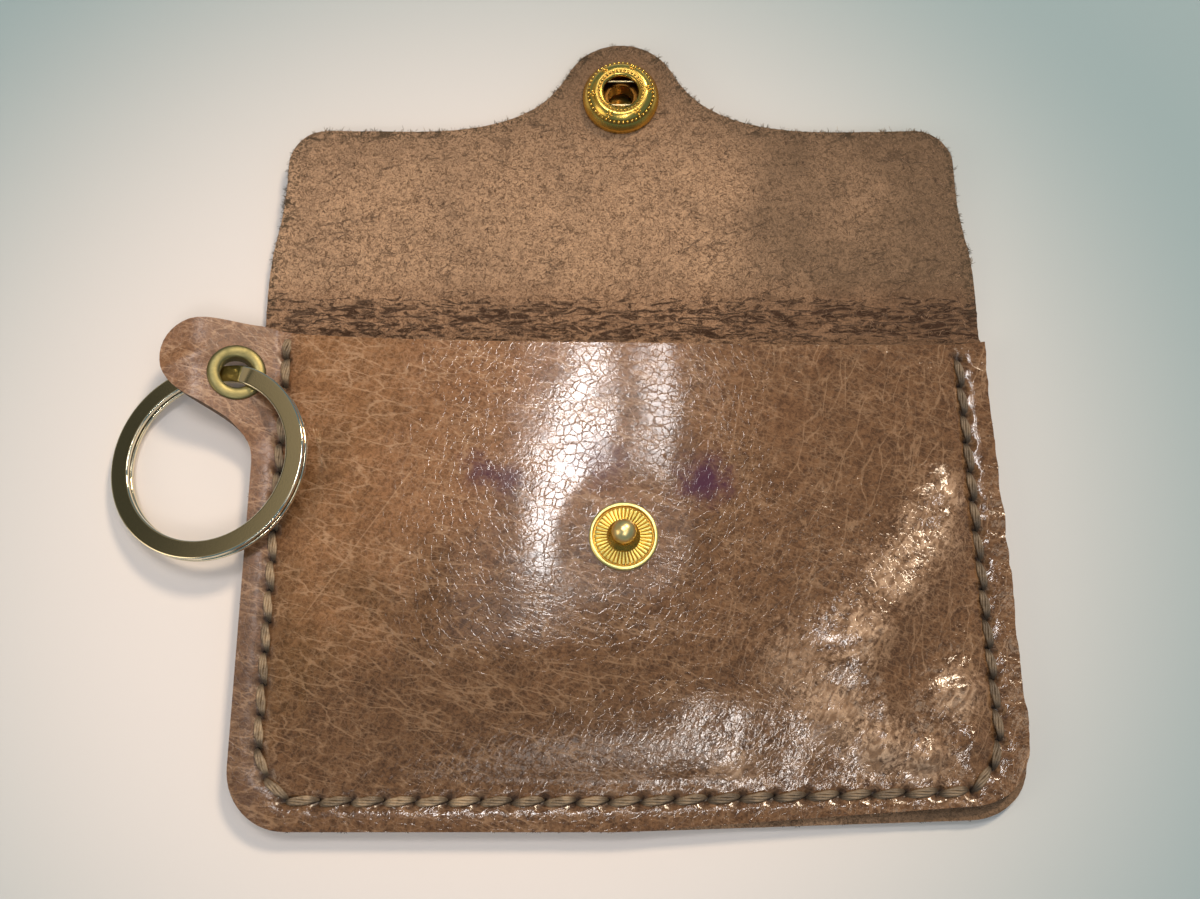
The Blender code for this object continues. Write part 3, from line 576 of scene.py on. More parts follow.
def lower_corners(trim):
    """Both lower corners of a panel and its bottom edge, from the left to the right."""
    left = Vector((-HALF_WIDTH + CORNER_RADIUS, BOTTOM + CORNER_RADIUS))
    right = Vector((HALF_WIDTH - CORNER_RADIUS, BOTTOM + CORNER_RADIUS + trim))
    return (
        arc(left, CORNER_RADIUS, math.pi, 1.5 * math.pi)
        + [Vector((0, BOTTOM))]
        + arc(right, CORNER_RADIUS, 1.5 * math.pi, 2 * math.pi)
    )


def tab_outline():
    """From the mouth's left end over the tab's round end and down to the panel's left edge."""
    end = Vector((-HALF_WIDTH - TAB_REACH + TAB_RADIUS, TOP + TAB_ABOVE - TAB_RADIUS))
    start = Vector((-HALF_WIDTH, TOP + MOUTH_RISE))
    crown = end + Vector((0, TAB_RADIUS))
    top = bezier(
        start, start - Vector((TAB_TOP_PULL, 0)), crown + Vector((TAB_TOP_PULL, 0)), crown, ARC_STEPS
    )
    round_end = arc(end, TAB_RADIUS, math.pi / 2, TAB_END_ANGLE)
    heading = Vector((-math.sin(TAB_END_ANGLE), math.cos(TAB_END_ANGLE)))
    foot = Vector((-HALF_WIDTH, TOP - TAB_ROOT))
    side = bezier(
        round_end[-1], round_end[-1] + heading * TAB_RADIUS, foot + Vector((0, TAB_RADIUS)),
        foot, ARC_STEPS,
    )
    return top + round_end + side[1:] + [foot]


def mouth_outline():
    """The mouth of the pocket, from its right end to its left."""
    right = Vector((HALF_WIDTH, TOP))
    left = Vector((-HALF_WIDTH, TOP + MOUTH_RISE))
    low = Vector((0, TOP - MOUTH_DIP))
    return bezier(
        right, low + Vector((MOUTH_PULL, 0)), low - Vector((MOUTH_PULL, 0)), left, CURVE_STEPS
    )


def flap_outline():
    """Right half of the flap with its shoulder and round tongue, in the flap's own plane."""
    root = Vector((HALF_WIDTH, 0))
    corner = Vector((SHOULDER_HALF - SHOULDER_RADIUS, SHOULDER_LENGTH - SHOULDER_RADIUS))
    side_top = corner + Vector((SHOULDER_RADIUS, 0))
    tip = arc(Vector((0, SOCKET_Y)), TONGUE_RADIUS, TONGUE_END_ANGLE, math.pi / 2)
    heading = Vector((math.sin(TONGUE_END_ANGLE), -math.cos(TONGUE_END_ANGLE)))
    shoulder = Vector((SHOULDER_INNER, SHOULDER_LENGTH))
    return (
        bezier(
            root, root + Vector((0, FLAP_SIDE_PULL)), side_top - Vector((0, FLAP_SIDE_PULL)),
            side_top, ARC_STEPS,
        )
        + arc(corner, SHOULDER_RADIUS, 0, math.pi / 2)
        + bezier(
            shoulder, shoulder - Vector((SHOULDER_PULL, 0)), tip[0] + heading * TONGUE_PULL,
            tip[0], CURVE_STEPS,
        )
        + tip
    )


RIVET_RECESS = 0.00038
RIVET_HEAD = 0.0043


def front_height(x, y):
    """Level of the front panel's inner face."""
    return FRONT_LEVEL + pocket_rise(x, y) + tab_lift(x, y)


def front_place(x, y, share, on_rim):
    """A point of the front panel: on its inner face, and from there out along the normal."""
    step = GRID / 2
    slope_x = (front_height(x + step, y) - front_height(x - step, y)) / (2 * step)
    slope_y = (front_height(x, y + step) - front_height(x, y - step)) / (2 * step)
    normal = Vector((-slope_x, -slope_y, 1)).normalized()
    point = Vector((*lean(x, y), front_height(x, y)))
    point.x += edge_wave(x, y, 1.5)
    out = LEATHER * share
    if share == 0 and (Vector((x, y)) - STUD.xy).length < RIVET_HEAD:
        out += RIVET_RECESS
    if share == 1:
        out -= HOLE_DEPTH * hole_mark(x, y)
    if on_rim:
        out += edge_inset(share) * (1 if share < 0.5 else -1)
        point += wobble(x, y, share, 900, EDGE_ROUGH)
    return point + normal * (out + front_relief(x, y))


def front_outline():
    return lower_corners(FRONT_TRIM) + mouth_outline() + tab_outline()


def front_panel(materials):
    outline = front_outline()
    left = min(point.x for point in outline)
    high = max(point.y for point in outline)
    side = HALF_WIDTH - SEAM_MARGIN
    columns = grid_lines(left, HALF_WIDTH, GRID, (-side, side))
    bm = gridded(outline, columns, grid_lines(BOTTOM, high, GRID, (BOTTOM + SEAM_MARGIN,)))
    open_hole(bm, EYELET.xy, EYELET_HOLE)
    open_hole(bm, STUD.xy, STUD_HOLE)
    marks = {"hole": lambda x, y, share: hole_mark(x, y) if share == 1 else 0.0}
    mesh = panel_mesh("pocket_front", bm, front_place, marks)
    return add_piece("pocket_front", mesh, "pocket", materials, ["front_panel"])


# Back and flap: one piece of leather, in which y runs on along the flap past the fold

FLAP_WARP = 0.00035
FLAP_WARP_START = 0.003
FLAP_WARP_EASE = 0.014
SIDE_CURL = 0.0004
SIDE_CURL_START = 0.035
SIDE_CURL_EASE = 0.02
CREASE_DEPTH = 0.00040
NAP_RELIEF = 0.00012
LOWEST = 0.00002
CREASE_MIDDLE = 0.0392
CREASE_HALF = 0.0012
CREASE_FADE = 0.0070
CREASE_WANDER = 0.0009
CREASE_WAVER = 0.0006
GROOVE_DEPTH = 0.00062
GROOVE_HALF = 0.0012


def crease_mark(x, y):
    """1 in the worn fold between pocket and flap, fading to 0 beside it."""
    wander = noise.noise((x * 60, 4.2, 0.0)) * CREASE_WANDER
    wander += noise.noise((x * 300, y * 300, 0.0)) * CREASE_WANDER
    return smooth_step((CREASE_HALF + CREASE_FADE - abs(y - CREASE_MIDDLE - wander)) / CREASE_FADE)


def back_place(x, y, share, on_rim):
    """A point of the back and the flap, which climbs over the fold."""
    along = y - FOLD.y
    knee = FOLD_KNEE / 2
    shift = FOLD.z * math.sin(FLAP_TILT)
    rise = soft_ramp(along + knee - shift / 2, FOLD_KNEE) * math.tan(FLAP_TILT)
    x_cut, y_cut = lean(x, y) if y < FOLD.y else (x, y)
    y_cut += shift * smooth_step((along + knee) / FOLD_KNEE) - max(0, along) * (1 - math.cos(FLAP_TILT))
    crease = crease_mark(x, y)
    wavy_y = y + noise.noise((x * 90, y * 90, 6.0)) * CREASE_WAVER
    worn = noise.noise((x * 130, wavy_y * 1100, 2.0))
    worn += 0.6 * noise.noise((x * 300, wavy_y * 2300, 5.0))
    height = rise + LEATHER * share
    if share == 1:
        height -= CREASE_DEPTH * crease * (0.5 + worn)
        height += NAP_RELIEF * noise.noise((x * 700, y * 700, 1.0))
    if share == 0:
        distance = seam_place(x, y)[0]
        height += GROOVE_DEPTH * hump(distance, GROOVE_HALF)
    flap_share = smooth_step((along - FLAP_WARP_START) / FLAP_WARP_EASE)
    from_socket = Vector((x, along - SOCKET_Y)).length
    warp = noise.noise((x * 38, y * 48, 9.0)) * FLAP_WARP
    warp += SIDE_CURL * smooth_step((abs(x) - SIDE_CURL_START) / SIDE_CURL_EASE)
    height += warp * flap_share * smooth_step((from_socket - SOCKET_RADIUS) / SOCKET_RADIUS)
    point = Vector((x_cut, y_cut, height))
    if y < FOLD.y:
        point.x += edge_wave(x, y, 1.9) * smooth_step((FOLD.y - y) / FOLD_KNEE)
    if on_rim:
        point.z += edge_inset(share) * (1 if share < 0.5 else -1)
        point += wobble(x, y, share, 800, EDGE_ROUGH * 1.6) + wobble(x, y, 0, 160, EDGE_ROUGH * 1.5)
        point.z = max(point.z, LOWEST)
    return point


RIM_STEP = 0.0003
RIM_REACH = 0.0016


def rim_tree():
    """Closely spaced points of the flap's cut edge."""
    outline = back_outline()
    closed = outline + [outline[0]]
    points = []
    for i in range(len(outline)):
        count = math.ceil((closed[i + 1] - closed[i]).length / RIM_STEP)
        points += [closed[i].lerp(closed[i + 1], step / count) for step in range(count)]
    points = [point for point in points if point.y > FOLD.y]
    tree = kdtree.KDTree(len(points))
    for i, point in enumerate(points):
        tree.insert((*point, 0), i)
    tree.balance()
    return tree


def back_outline():
    """Outline of the one piece that makes the back and the flap, before it is folded."""
    half = [Vector((point.x, FOLD.y + point.y)) for point in flap_outline()]
    return lower_corners(0) + half + [Vector((-point.x, point.y)) for point in reversed(half[:-1])]


def back_and_flap(materials):
    outline = back_outline()
    high = max(point.y for point in outline)
    rows = grid_lines(BOTTOM, FOLD.y - FOLD_FINE, GRID * 1.8)
    rows += even_steps(FOLD.y - FOLD_FINE, FOLD.y + FOLD_FINE, round(FOLD_FINE * 2 / FOLD_GRID))
    rows += grid_lines(FOLD.y + FOLD_FINE, high, GRID * 0.9)
    bm = gridded(outline, grid_lines(-HALF_WIDTH, HALF_WIDTH, GRID), rows)
    open_hole(bm, Vector((0, FOLD.y + SOCKET_Y)), SOCKET_HOLE)
    rim = rim_tree()
    marks = {
        "rim": lambda x, y, share: hump(rim.find((x, y, 0))[2], RIM_REACH),
        "crease": lambda x, y, share: crease_mark(x, y) if share > 0 else 0.0,
    }
    mesh = panel_mesh("back_and_flap", bm, back_place, marks)
    fold_blend(add_piece("back_and_flap", mesh, None, materials, ["back_panel", "flap"]))


# Thread

THREAD_PLY = 0.00043
THREAD_PLIES = 6
THREAD_SPREAD = 0.00044
TOP_STITCH = 0.0033
THREAD_FLATNESS = 0.45
THREAD_SHIFT = 0.00036
THREAD_HIGH = 0.00030
THREAD_DIVE = 0.00100
THREAD_TURNS = 0.42
THREAD_LAST_LIFT = 0.8
BACK_SPREAD_SHARE = 0.8
TOP_SPREAD_SHARE = 1.15
BACK_LEVEL = GROOVE_DEPTH * 0.9
STITCH_STEPS = 10
THREAD_END_REACH = 0.00105
NEARLY_OUTER = 0.999


def stitch_runs(first, last, up, spread_share=1.0):
    """Plies of one stitch, twisted round each other, from hole to hole in an arch."""
    along = (last - first).normalized()
    across = up.cross(along)
    runs = []
    for ply in range(THREAD_PLIES):
        run = []
        for t in even_steps(0, 1, STITCH_STEPS):
            arch = 1 - (2 * t - 1) ** 4
            level = (THREAD_HIGH + THREAD_DIVE) * arch - THREAD_DIVE
            turn = 2 * math.pi * (ply / THREAD_PLIES + THREAD_TURNS * t)
            spread = THREAD_SPREAD * spread_share * (0.30 + 0.70 * math.sin(math.pi * t))
            point = first.lerp(last, t) + up * (level + THREAD_FLATNESS * spread * math.sin(turn))
            point += across * (spread * math.cos(turn))
            run.append((point, 0.75 + 0.25 * arch))
        runs.append(run)
    return runs


def mark_thread_ends(mesh):
    """Marks the thread with 1 where it dives into a hole, fading to 0 in the middle of a stitch; the
    thread's material paints shade there.
    """
    holes = kdtree.KDTree(len(HOLES))
    for i, (centre, along) in enumerate(HOLES):
        holes.insert((*lean(*centre), 0), i)
    holes.balance()
    ends = mesh.attributes.new("hole", "FLOAT", "POINT")
    for i, vert in enumerate(mesh.vertices):
        distance = holes.find((vert.co.x, vert.co.y, 0))[2]
        ends.data[i].value = hump(distance, THREAD_END_REACH)


def seam_top(x, y):
    """Point on the front panel's outer face near the seam, as it is without the stitch holes."""
    return front_place(x, y, NEARLY_OUTER, False)


def stitched_seam(material):
    """Every stitch on the front and on the back, from hole to hole, and the two that end the seam."""
    front = []
    back = []
    up = Vector((0, 0, 1))
    for i in range(STITCHES):
        centre, along = HOLES[i]
        other, other_along = HOLES[i + 1]
        across = Vector((-along.y, along.x)) * THREAD_SHIFT
        other_across = Vector((-other_along.y, other_along.x)) * THREAD_SHIFT
        start = centre - across
        end = other + other_across
        front += stitch_runs(seam_top(*start), seam_top(*end), up)
        start = Vector((*lean(*(centre + across)), BACK_LEVEL))
        end = Vector((*lean(*(other - other_across)), BACK_LEVEL))
        back += stitch_runs(start, end, -up, BACK_SPREAD_SHARE)
    centre, along = HOLES[-1]
    across = Vector((-along.y, along.x)) * THREAD_SHIFT
    before = HOLES[-2][0]
    lifted = Vector((0, 0, THREAD_PLY * THREAD_LAST_LIFT))
    start = seam_top(*(before - across * 0.4)) + lifted
    end = seam_top(*(centre - across * 0.6)) + lifted
    front += stitch_runs(start, end, up)
    start = seam_top(*(centre + across * 0.4))
    end = seam_top(*(centre + along * TOP_STITCH - across * 0.4))
    front += stitch_runs(start, end, up, TOP_SPREAD_SHARE)
    mesh = wires("saddle_stitches", front + back, THREAD_PLY, 1)
    mark_thread_ends(mesh)
    return add_piece("saddle_stitches", mesh, "pocket", [material], ["saddle_thread"])


# Loose fibres on the cut edges and on the flap's flesh side

FIBRE = 0.00010
FLAP_TUFTS = 3400
BACK_TUFTS = 425
FRONT_TUFTS = 242
SHORT_SHARE = 0.45
TUFT_FIBRES = 5
TUFT_WIDTH = 0.00022
FIBRE_LENGTH = 0.00075
NAP_FIBRE = 0.00008
NAP_FIBRES = 7500
NAP_LENGTH = 0.00095
NAP_MARGIN = 0.0005


def bent_fibre(start, heading, length, bend, steps):
    """A short fibre that bends sideways and thins out to its tip. It stays above the table."""
    side = Vector((-heading.y, heading.x, 0))
    run = []
    for t in even_steps(0, 1, steps):
        point = start + heading * (length * t) + side * (bend * length * t * t * 0.5)
        point.z = max(point.z, FIBRE)
        run.append((point, 1 - 0.65 * t))
    return run


def tufts_along(outline, place, count, seed, keep, longest):
    """Tufts of short fibres that stick out of a cut edge, kept only where keep says so."""
    draw = random.Random(seed)
    closed = outline + [outline[0]]
    lengths = [(closed[i + 1] - closed[i]).length for i in range(len(outline))]
    runs = []
    for _ in range(count):
        left = draw.random() * sum(lengths)
        i = 0
        while left > lengths[i]:
            left -= lengths[i]
            i += 1
        along = (closed[i + 1] - closed[i]).normalized()
        spot = closed[i] + along * left
        size = 0.30 + 0.9 * draw.random() ** 2.2
        turn = draw.uniform(-0.8, 0.8)
        share = draw.random()
        for _ in range(TUFT_FIBRES):
            heading = Vector((along.y, -along.x)) + along * (turn + draw.uniform(-0.5, 0.5))
            heading = Vector((*heading.normalized(), draw.uniform(-0.25, 0.5))).normalized()
            shifted = spot + along * draw.uniform(-TUFT_WIDTH, TUFT_WIDTH)
            length = longest * size * draw.uniform(0.6, 1.2)
            bend = draw.uniform(-1.3, 1.3)
            if keep(spot.x, spot.y):
                start = place(shifted.x, shifted.y, share, False) - heading * FIBRE * 2
                runs.append(bent_fibre(start, heading, length, bend, 3))
    return runs


def nap_runs():
    """Fibres of the flesh side that lie nearly flat, over the fold and the flap."""
    draw = random.Random(21)
    half = [Vector((point.x, FOLD.y + point.y)) for point in flap_outline()]
    high = half[-1].y
    runs = []
    while len(runs) < NAP_FIBRES:
        x = draw.uniform(-HALF_WIDTH, HALF_WIDTH)
        y = draw.uniform(TOP, high)
        turn = draw.uniform(0, 2 * math.pi)
        lift = draw.uniform(0.02, 0.35)
        length = NAP_LENGTH * draw.uniform(0.4, 1.2)
        bend = draw.uniform(-1.2, 1.2)
        reach = [point.x for point in half if point.y > y]
        edge = min(reach[:1] + [HALF_WIDTH - NAP_MARGIN]) if y > FOLD.y else HALF_WIDTH - NAP_MARGIN
        from_socket = Vector((x, y - FOLD.y - SOCKET_Y)).length
        if abs(x) > edge - NAP_LENGTH or from_socket < SOCKET_RADIUS + NAP_LENGTH:
            continue
        heading = Vector((math.cos(turn), math.sin(turn), lift)).normalized()
        start = back_place(x, y, 1, False) - Vector((0, 0, NAP_FIBRE / 2))
        runs.append(bent_fibre(start, heading, length, bend, 2))
    return runs


def fold_blend(piece):
    """Bakes a piece's place into its mesh."""
    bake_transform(piece)


def loose_fibres(edge_material, nap_material):
    """Fibres on the flap's edge, fewer and shorter ones on the pocket's, and the nap."""
    runs = tufts_along(
        back_outline(), back_place, FLAP_TUFTS, 11, lambda x, y: y > FOLD.y + FOLD_KNEE, FIBRE_LENGTH
    )
    mesh = wires("flap_fibres", runs, FIBRE, 0)
    add_piece("flap_fibres", mesh, "flap", [edge_material])
    short = FIBRE_LENGTH * SHORT_SHARE
    runs = tufts_along(back_outline(), back_place, BACK_TUFTS, 12, lambda x, y: y < TOP, short)
    runs += tufts_along(
        front_outline(), front_place, FRONT_TUFTS, 13, lambda x, y: y < TOP - MOUTH_DIP * 2, short
    )
    mesh = wires("pocket_fibres", runs, FIBRE, 0)
    add_piece("pocket_fibres", mesh, "pocket", [edge_material])
    mesh = wires("suede_nap", nap_runs(), NAP_FIBRE, 0)
    fold_blend(add_piece("suede_nap", mesh, None, [nap_material]))


# Snap on the flap

SNAP_STEPS = 96
SHEET = 0.00035
SEAT_GAP = 0.00005
SOCKET_HEIGHT = 0.0029
SOCKET_SIDE = 0.0008
CREST = 0.0039
MOUTH_DROP = 0.00014
MOUTH_RADIUS = 0.00275
LIP_DEPTH = 0.0022
INNER_BEADS = 36
INNER_BEAD_CIRCLE = 0.00345
INNER_BEAD = 0.00046
OUTER_BEADS = 46
OUTER_BEAD_CIRCLE = 0.00515
OUTER_BEAD = 0.00050
FLOWERS = 6
FLOWER_CIRCLE = 0.00442
FLOWER_BEAD = 0.00042
FLOWER_PETAL = 0.00042
PETALS = 5
BEAD_BAND = 0.00026


def socket_crown(radius):
    """Height of the domed ring's outer face at a radius."""
    if radius < CREST:
        return SOCKET_HEIGHT - MOUTH_DROP * ((CREST - radius) / (CREST - MOUTH_RADIUS)) ** 2
    share = min(1.0, (radius - CREST) / (SOCKET_RADIUS - CREST))
    return SOCKET_HEIGHT - (SOCKET_HEIGHT - SOCKET_SIDE) * share ** 1.75


def bead(bm, radius, angle, size):
    """A small round bead pressed up out of the ring."""
    height = socket_crown(radius)
    place = Matrix.Rotation(angle, 4, "Z") @ Matrix.Translation((radius, 0, height))
    made = bmesh.ops.create_uvsphere(bm, u_segments=10, v_segments=6, radius=size / 2)
    bmesh.ops.transform(bm, matrix=SOCKET_PLACE @ place, verts=made["verts"])


def snap_socket(materials):
    """The domed ring with its turned-in mouth, two rows of beads and six flowers between them."""
    outer = [(SOCKET_RADIUS, SEAT_GAP), (SOCKET_RADIUS, SOCKET_SIDE - 0.0002)]
    crown = even_steps(SOCKET_RADIUS, MOUTH_RADIUS + 0.0004, 30)
    outer += [(radius, socket_crown(radius)) for radius in crown]
    outer += [
        (MOUTH_RADIUS + 0.0002, SOCKET_HEIGHT - 0.00016),
        (MOUTH_RADIUS + 0.00004, SOCKET_HEIGHT - 0.00030),
        (MOUTH_RADIUS, SOCKET_HEIGHT - 0.00046),
        (MOUTH_RADIUS, LIP_DEPTH),
    ]
    inner = [(MOUTH_RADIUS + SHEET, LIP_DEPTH), (MOUTH_RADIUS + SHEET, SOCKET_HEIGHT - 0.0004 - SHEET)]
    crown = even_steps(MOUTH_RADIUS + 2 * SHEET, SOCKET_RADIUS - SHEET, 12)
    inner += [(radius, socket_crown(radius) - SHEET) for radius in crown]
    inner += [(SOCKET_RADIUS - SHEET, SEAT_GAP)]
    bm = turned(outer + inner, SNAP_STEPS)
    for face in bm.faces:
        middle = face.calc_center_median()
        radius = middle.xy.length
        near = min(abs(radius - INNER_BEAD_CIRCLE), abs(radius - OUTER_BEAD_CIRCLE))
        if near < BEAD_BAND and middle.z > socket_crown(radius) - SHEET / 2:
            face.material_index = 1
    bmesh.ops.transform(bm, matrix=SOCKET_PLACE, verts=bm.verts)
    for i in range(INNER_BEADS):
        bead(bm, INNER_BEAD_CIRCLE, 2 * math.pi * i / INNER_BEADS, INNER_BEAD)
    for i in range(OUTER_BEADS):
        bead(bm, OUTER_BEAD_CIRCLE, 2 * math.pi * i / OUTER_BEADS, OUTER_BEAD)
    for i in range(FLOWERS):
        angle = 2 * math.pi * (i + 0.1) / FLOWERS
        bead(bm, FLOWER_CIRCLE, angle, FLOWER_BEAD * 1.15)
        for petal in range(PETALS):
            turn = 2 * math.pi * petal / PETALS
            radius = FLOWER_CIRCLE + FLOWER_PETAL * math.cos(turn)
            bead(bm, radius, angle + FLOWER_PETAL * math.sin(turn) / FLOWER_CIRCLE, FLOWER_BEAD)
    mesh = mesh_from("snap_socket", bm, 60)
    return add_piece("snap_socket", mesh, "flap", materials, ["socket_shell"])


SPRING_DIAMETER = 0.00038
SPRING_HALF_GAP = 0.00205
SPRING_HEIGHT = 0.00185
SPRING_RADIUS = 0.0039
SPRING_TAIL = 0.0033


def snap_spring(material):
    """The bent wire across the socket's mouth: a bow with two straight tails."""
    start = math.asin(SPRING_HALF_GAP / SPRING_RADIUS)
    bow = [
        (SPRING_RADIUS * math.cos(angle), SPRING_RADIUS * math.sin(angle))
        for angle in even_steps(-start, start, 20)
    ]
    flat = [(-SPRING_TAIL, bow[0][1])] + bow + [(-SPRING_TAIL, bow[-1][1])]
    run = [(SOCKET_PLACE @ Vector((x, y, SPRING_HEIGHT)), 1) for x, y in flat]
    mesh = wires("snap_spring", [run], SPRING_DIAMETER, 3)
    return add_piece("snap_spring", mesh, "flap", [material], ["socket_spring"])


CAP_RADIUS = 0.00625
CAP_HEIGHT = 0.0018
CAP_SHEET = 0.0003


def snap_cap(material):
    """The domed cap that shows on the outside of the closed flap."""
    rim = -LEATHER - SEAT_GAP

    def dome(radius, sunk):
        share = radius / CAP_RADIUS
        return rim - CAP_HEIGHT * (1 - share ** 2.6) ** 0.75 + sunk

    outer = [(CAP_RADIUS * math.sin(angle), 0) for angle in even_steps(math.pi / 2, 0, 18)]
    outer = [(radius, dome(radius, 0)) for radius, _ in outer]
    outer[-1] = (0, rim - CAP_HEIGHT)
    inner = [(radius * (1 - CAP_SHEET / CAP_RADIUS), dome(radius, CAP_SHEET)) for radius, _ in outer]
    inner[-1] = (0, rim - CAP_HEIGHT + CAP_SHEET)
    inner[0] = (CAP_RADIUS - CAP_SHEET, rim)
    bm = turned(outer + inner[::-1], SNAP_STEPS, SOCKET_PLACE)
    mesh = mesh_from("snap_cap", bm, 60)
    return add_piece("snap_cap", mesh, "flap", [material], ["snap_cap_shell"])


# Snap on the pocket

RIBS = 40
STUD_RIM = 0.00062
STUD_RIM_RISE = 0.00050
STUD_RIM_ROUND = 0.0002
STUD_GROOVE = 0.00012
STUD_DISH_RISE = 0.00024
DISH_SLOPE = 0.0001
BELL_RADIUS = 0.00235
NECK_RADIUS = 0.00128
NECK_RISE = 0.00195
BALL_RADIUS = 0.00172
BALL_RISE = 0.00330
RIB_HEIGHT = 0.00013
RIB_EASE = 0.0002
RIB_SHADE = 0.36
POST_RADIUS = 0.0013
HOLLOW_RADIUS = 0.00095
HOLLOW_TOP = 0.0023


def stud_profile(rim_inner, dish_outer):
    """Half section of the stud, from its hollow foot over the flange, neck and ball and back inside."""
    profile = [(POST_RADIUS, 0), (STUD_RADIUS - 0.0001, 0)]
    rim_middle = STUD_RADIUS - STUD_RIM / 2
    for angle in even_steps(0, math.pi, 10):
        height = STUD_RIM_RISE - STUD_RIM_ROUND + STUD_RIM_ROUND * math.sin(angle)
        profile.append((rim_middle + STUD_RIM / 2 * math.cos(angle), height))
    profile += [(rim_inner, STUD_GROOVE), (dish_outer, STUD_GROOVE)]
    for radius in even_steps(dish_outer, BELL_RADIUS, 14):
        profile.append((radius, STUD_DISH_RISE + DISH_SLOPE * (dish_outer - radius) / dish_outer))
    for t in even_steps(0.06, 1, 12):
        radius = NECK_RADIUS + (BELL_RADIUS - NECK_RADIUS) * (1 - t) ** 1.9
        height = STUD_DISH_RISE + DISH_SLOPE + (NECK_RISE - STUD_DISH_RISE - DISH_SLOPE) * t ** 0.9
        profile.append((radius, height))
    start = math.asin(NECK_RADIUS / BALL_RADIUS)
    for angle in even_steps(start, math.pi, 16)[1:-1]:
        profile.append((BALL_RADIUS * math.sin(angle), BALL_RISE - BALL_RADIUS * math.cos(angle)))
    profile.append((0, BALL_RISE + BALL_RADIUS * 0.97))
    profile += [(0, HOLLOW_TOP), (HOLLOW_RADIUS, HOLLOW_TOP), (HOLLOW_RADIUS, 0.0016), (POST_RADIUS, 0.0006)]
    return profile


def snap_stud(materials):
    """Flange with a raised rim and a ribbed dish, a bell-shaped neck and a ball."""
    rim_inner = STUD_RADIUS - STUD_RIM
    dish_outer = rim_inner - 0.00012
    bm = turned(stud_profile(rim_inner, dish_outer), RIBS * 8)
    for vert in bm.verts:
        radius = vert.co.xy.length
        if BELL_RADIUS - 0.0001 < radius < dish_outer - WELD and 0.0001 < vert.co.z < 0.0006:
            angle = math.atan2(vert.co.y, vert.co.x)
            ends = smooth_step((dish_outer - radius) / RIB_EASE)
            ends *= smooth_step((radius - BELL_RADIUS + RIB_EASE) / RIB_EASE)
            vert.co.z += RIB_HEIGHT * ends * (abs(math.cos(angle * RIBS / 2)) * 2 - 1)
    # Faces between the ribs, in the groove inside the rim and on the neck under the ball take the second
    # finish: painted shade.
    for face in bm.faces:
        middle = face.calc_center_median()
        radius = middle.xy.length
        between_ribs = abs(math.cos(math.atan2(middle.y, middle.x) * RIBS / 2)) < RIB_SHADE
        if middle.z > NECK_RISE:
            face.material_index = 2
        elif radius < BELL_RADIUS and middle.z > STUD_DISH_RISE:
            face.material_index = 1
        elif BELL_RADIUS < radius < dish_outer + 0.0001 and between_ribs:
            face.material_index = 1
        elif dish_outer - 0.0001 < radius < rim_inner + 0.0001:
            face.material_index = 1
    bmesh.ops.translate(bm, verts=bm.verts, vec=STUD)
    mesh = mesh_from("snap_stud", bm, 50)
    return add_piece("snap_stud", mesh, "pocket", materials, ["stud"])


# Eyelet and ring

EYELET_BORE = 0.0024
EYELET_WALL = 0.0003
EYELET_RADIUS = 0.00425
EYELET_RISE = 0.0005
WASHER_SHEET = 0.00035
SET_RADIUS = 0.0034
SET_ROUND = 0.0002


def rolled_eyelet(material):
    """The eyelet: rolled rim above the tab, barrel through it, and the edge set over the washer."""
    top = LEATHER / 2 + SEAT_GAP
    low = -LEATHER / 2 - WASHER_SHEET
    barrel = EYELET_BORE + EYELET_WALL
    middle = (EYELET_BORE + EYELET_RADIUS) / 2
    half = (EYELET_RADIUS - EYELET_BORE) / 2
    profile = [(EYELET_BORE, low), (EYELET_BORE, LEATHER / 4)]
    profile += [
        (middle - half * math.cos(angle), top + EYELET_RISE * math.sin(angle) ** 0.85)
        for angle in even_steps(0.05, math.pi - 0.05, 22)
    ]
    profile += [(EYELET_RADIUS, top + 0.00002), (EYELET_RADIUS - 0.0001, top), (barrel, top), (barrel, low)]
    profile += [(SET_RADIUS, low), (SET_RADIUS, low - 0.00012)]
    profile += [(SET_RADIUS - SET_ROUND, low - SET_ROUND), (barrel, low - SET_ROUND)]
    bm = turned(profile, SNAP_STEPS, EYELET_PLACE)
    mesh = mesh_from("rolled_eyelet", bm, 60)
    return add_piece("rolled_eyelet", mesh, "pocket", [material], ["tab_eyelet"])


WIRE_WIDTH = 0.0027
WIRE_THICKNESS = 0.00075
COIL_GAP = 0.00042
RING_TILT = math.radians(11)
RING_BEARING = math.radians(77.3)
STEP_LENGTH = 0.0060
STEP_CLEAR = 0.0021
TURN_STEPS = 150
STEP_STEPS = 24
WIRE_ROUND = 0.000256


def ring_place():
    """The ring's own frame: X from its centre to the eyelet, Z out of its plane, left side down."""
    along = Vector((math.cos(RING_BEARING), math.sin(RING_BEARING), 0))
    left = Vector((-along.y, along.x, 0)) * math.cos(RING_TILT) - Vector((0, 0, math.sin(RING_TILT)))
    turn = Matrix((along, left, along.cross(left))).transposed().to_4x4()
    centre = EYELET - along * (RING_DIAMETER - WIRE_WIDTH) / 2
    return Matrix.Translation(centre) @ turn


def wire_level(angle):
    """Height of the wire's middle: the upper turn, then the step down at the eyelet."""
    step_angle = STEP_LENGTH / ((RING_DIAMETER - WIRE_WIDTH) / 2)
    share = (angle - 2 * math.pi) / step_angle + 1 / 2
    return (WIRE_THICKNESS + COIL_GAP) * (1 / 2 - smooth_step(share))


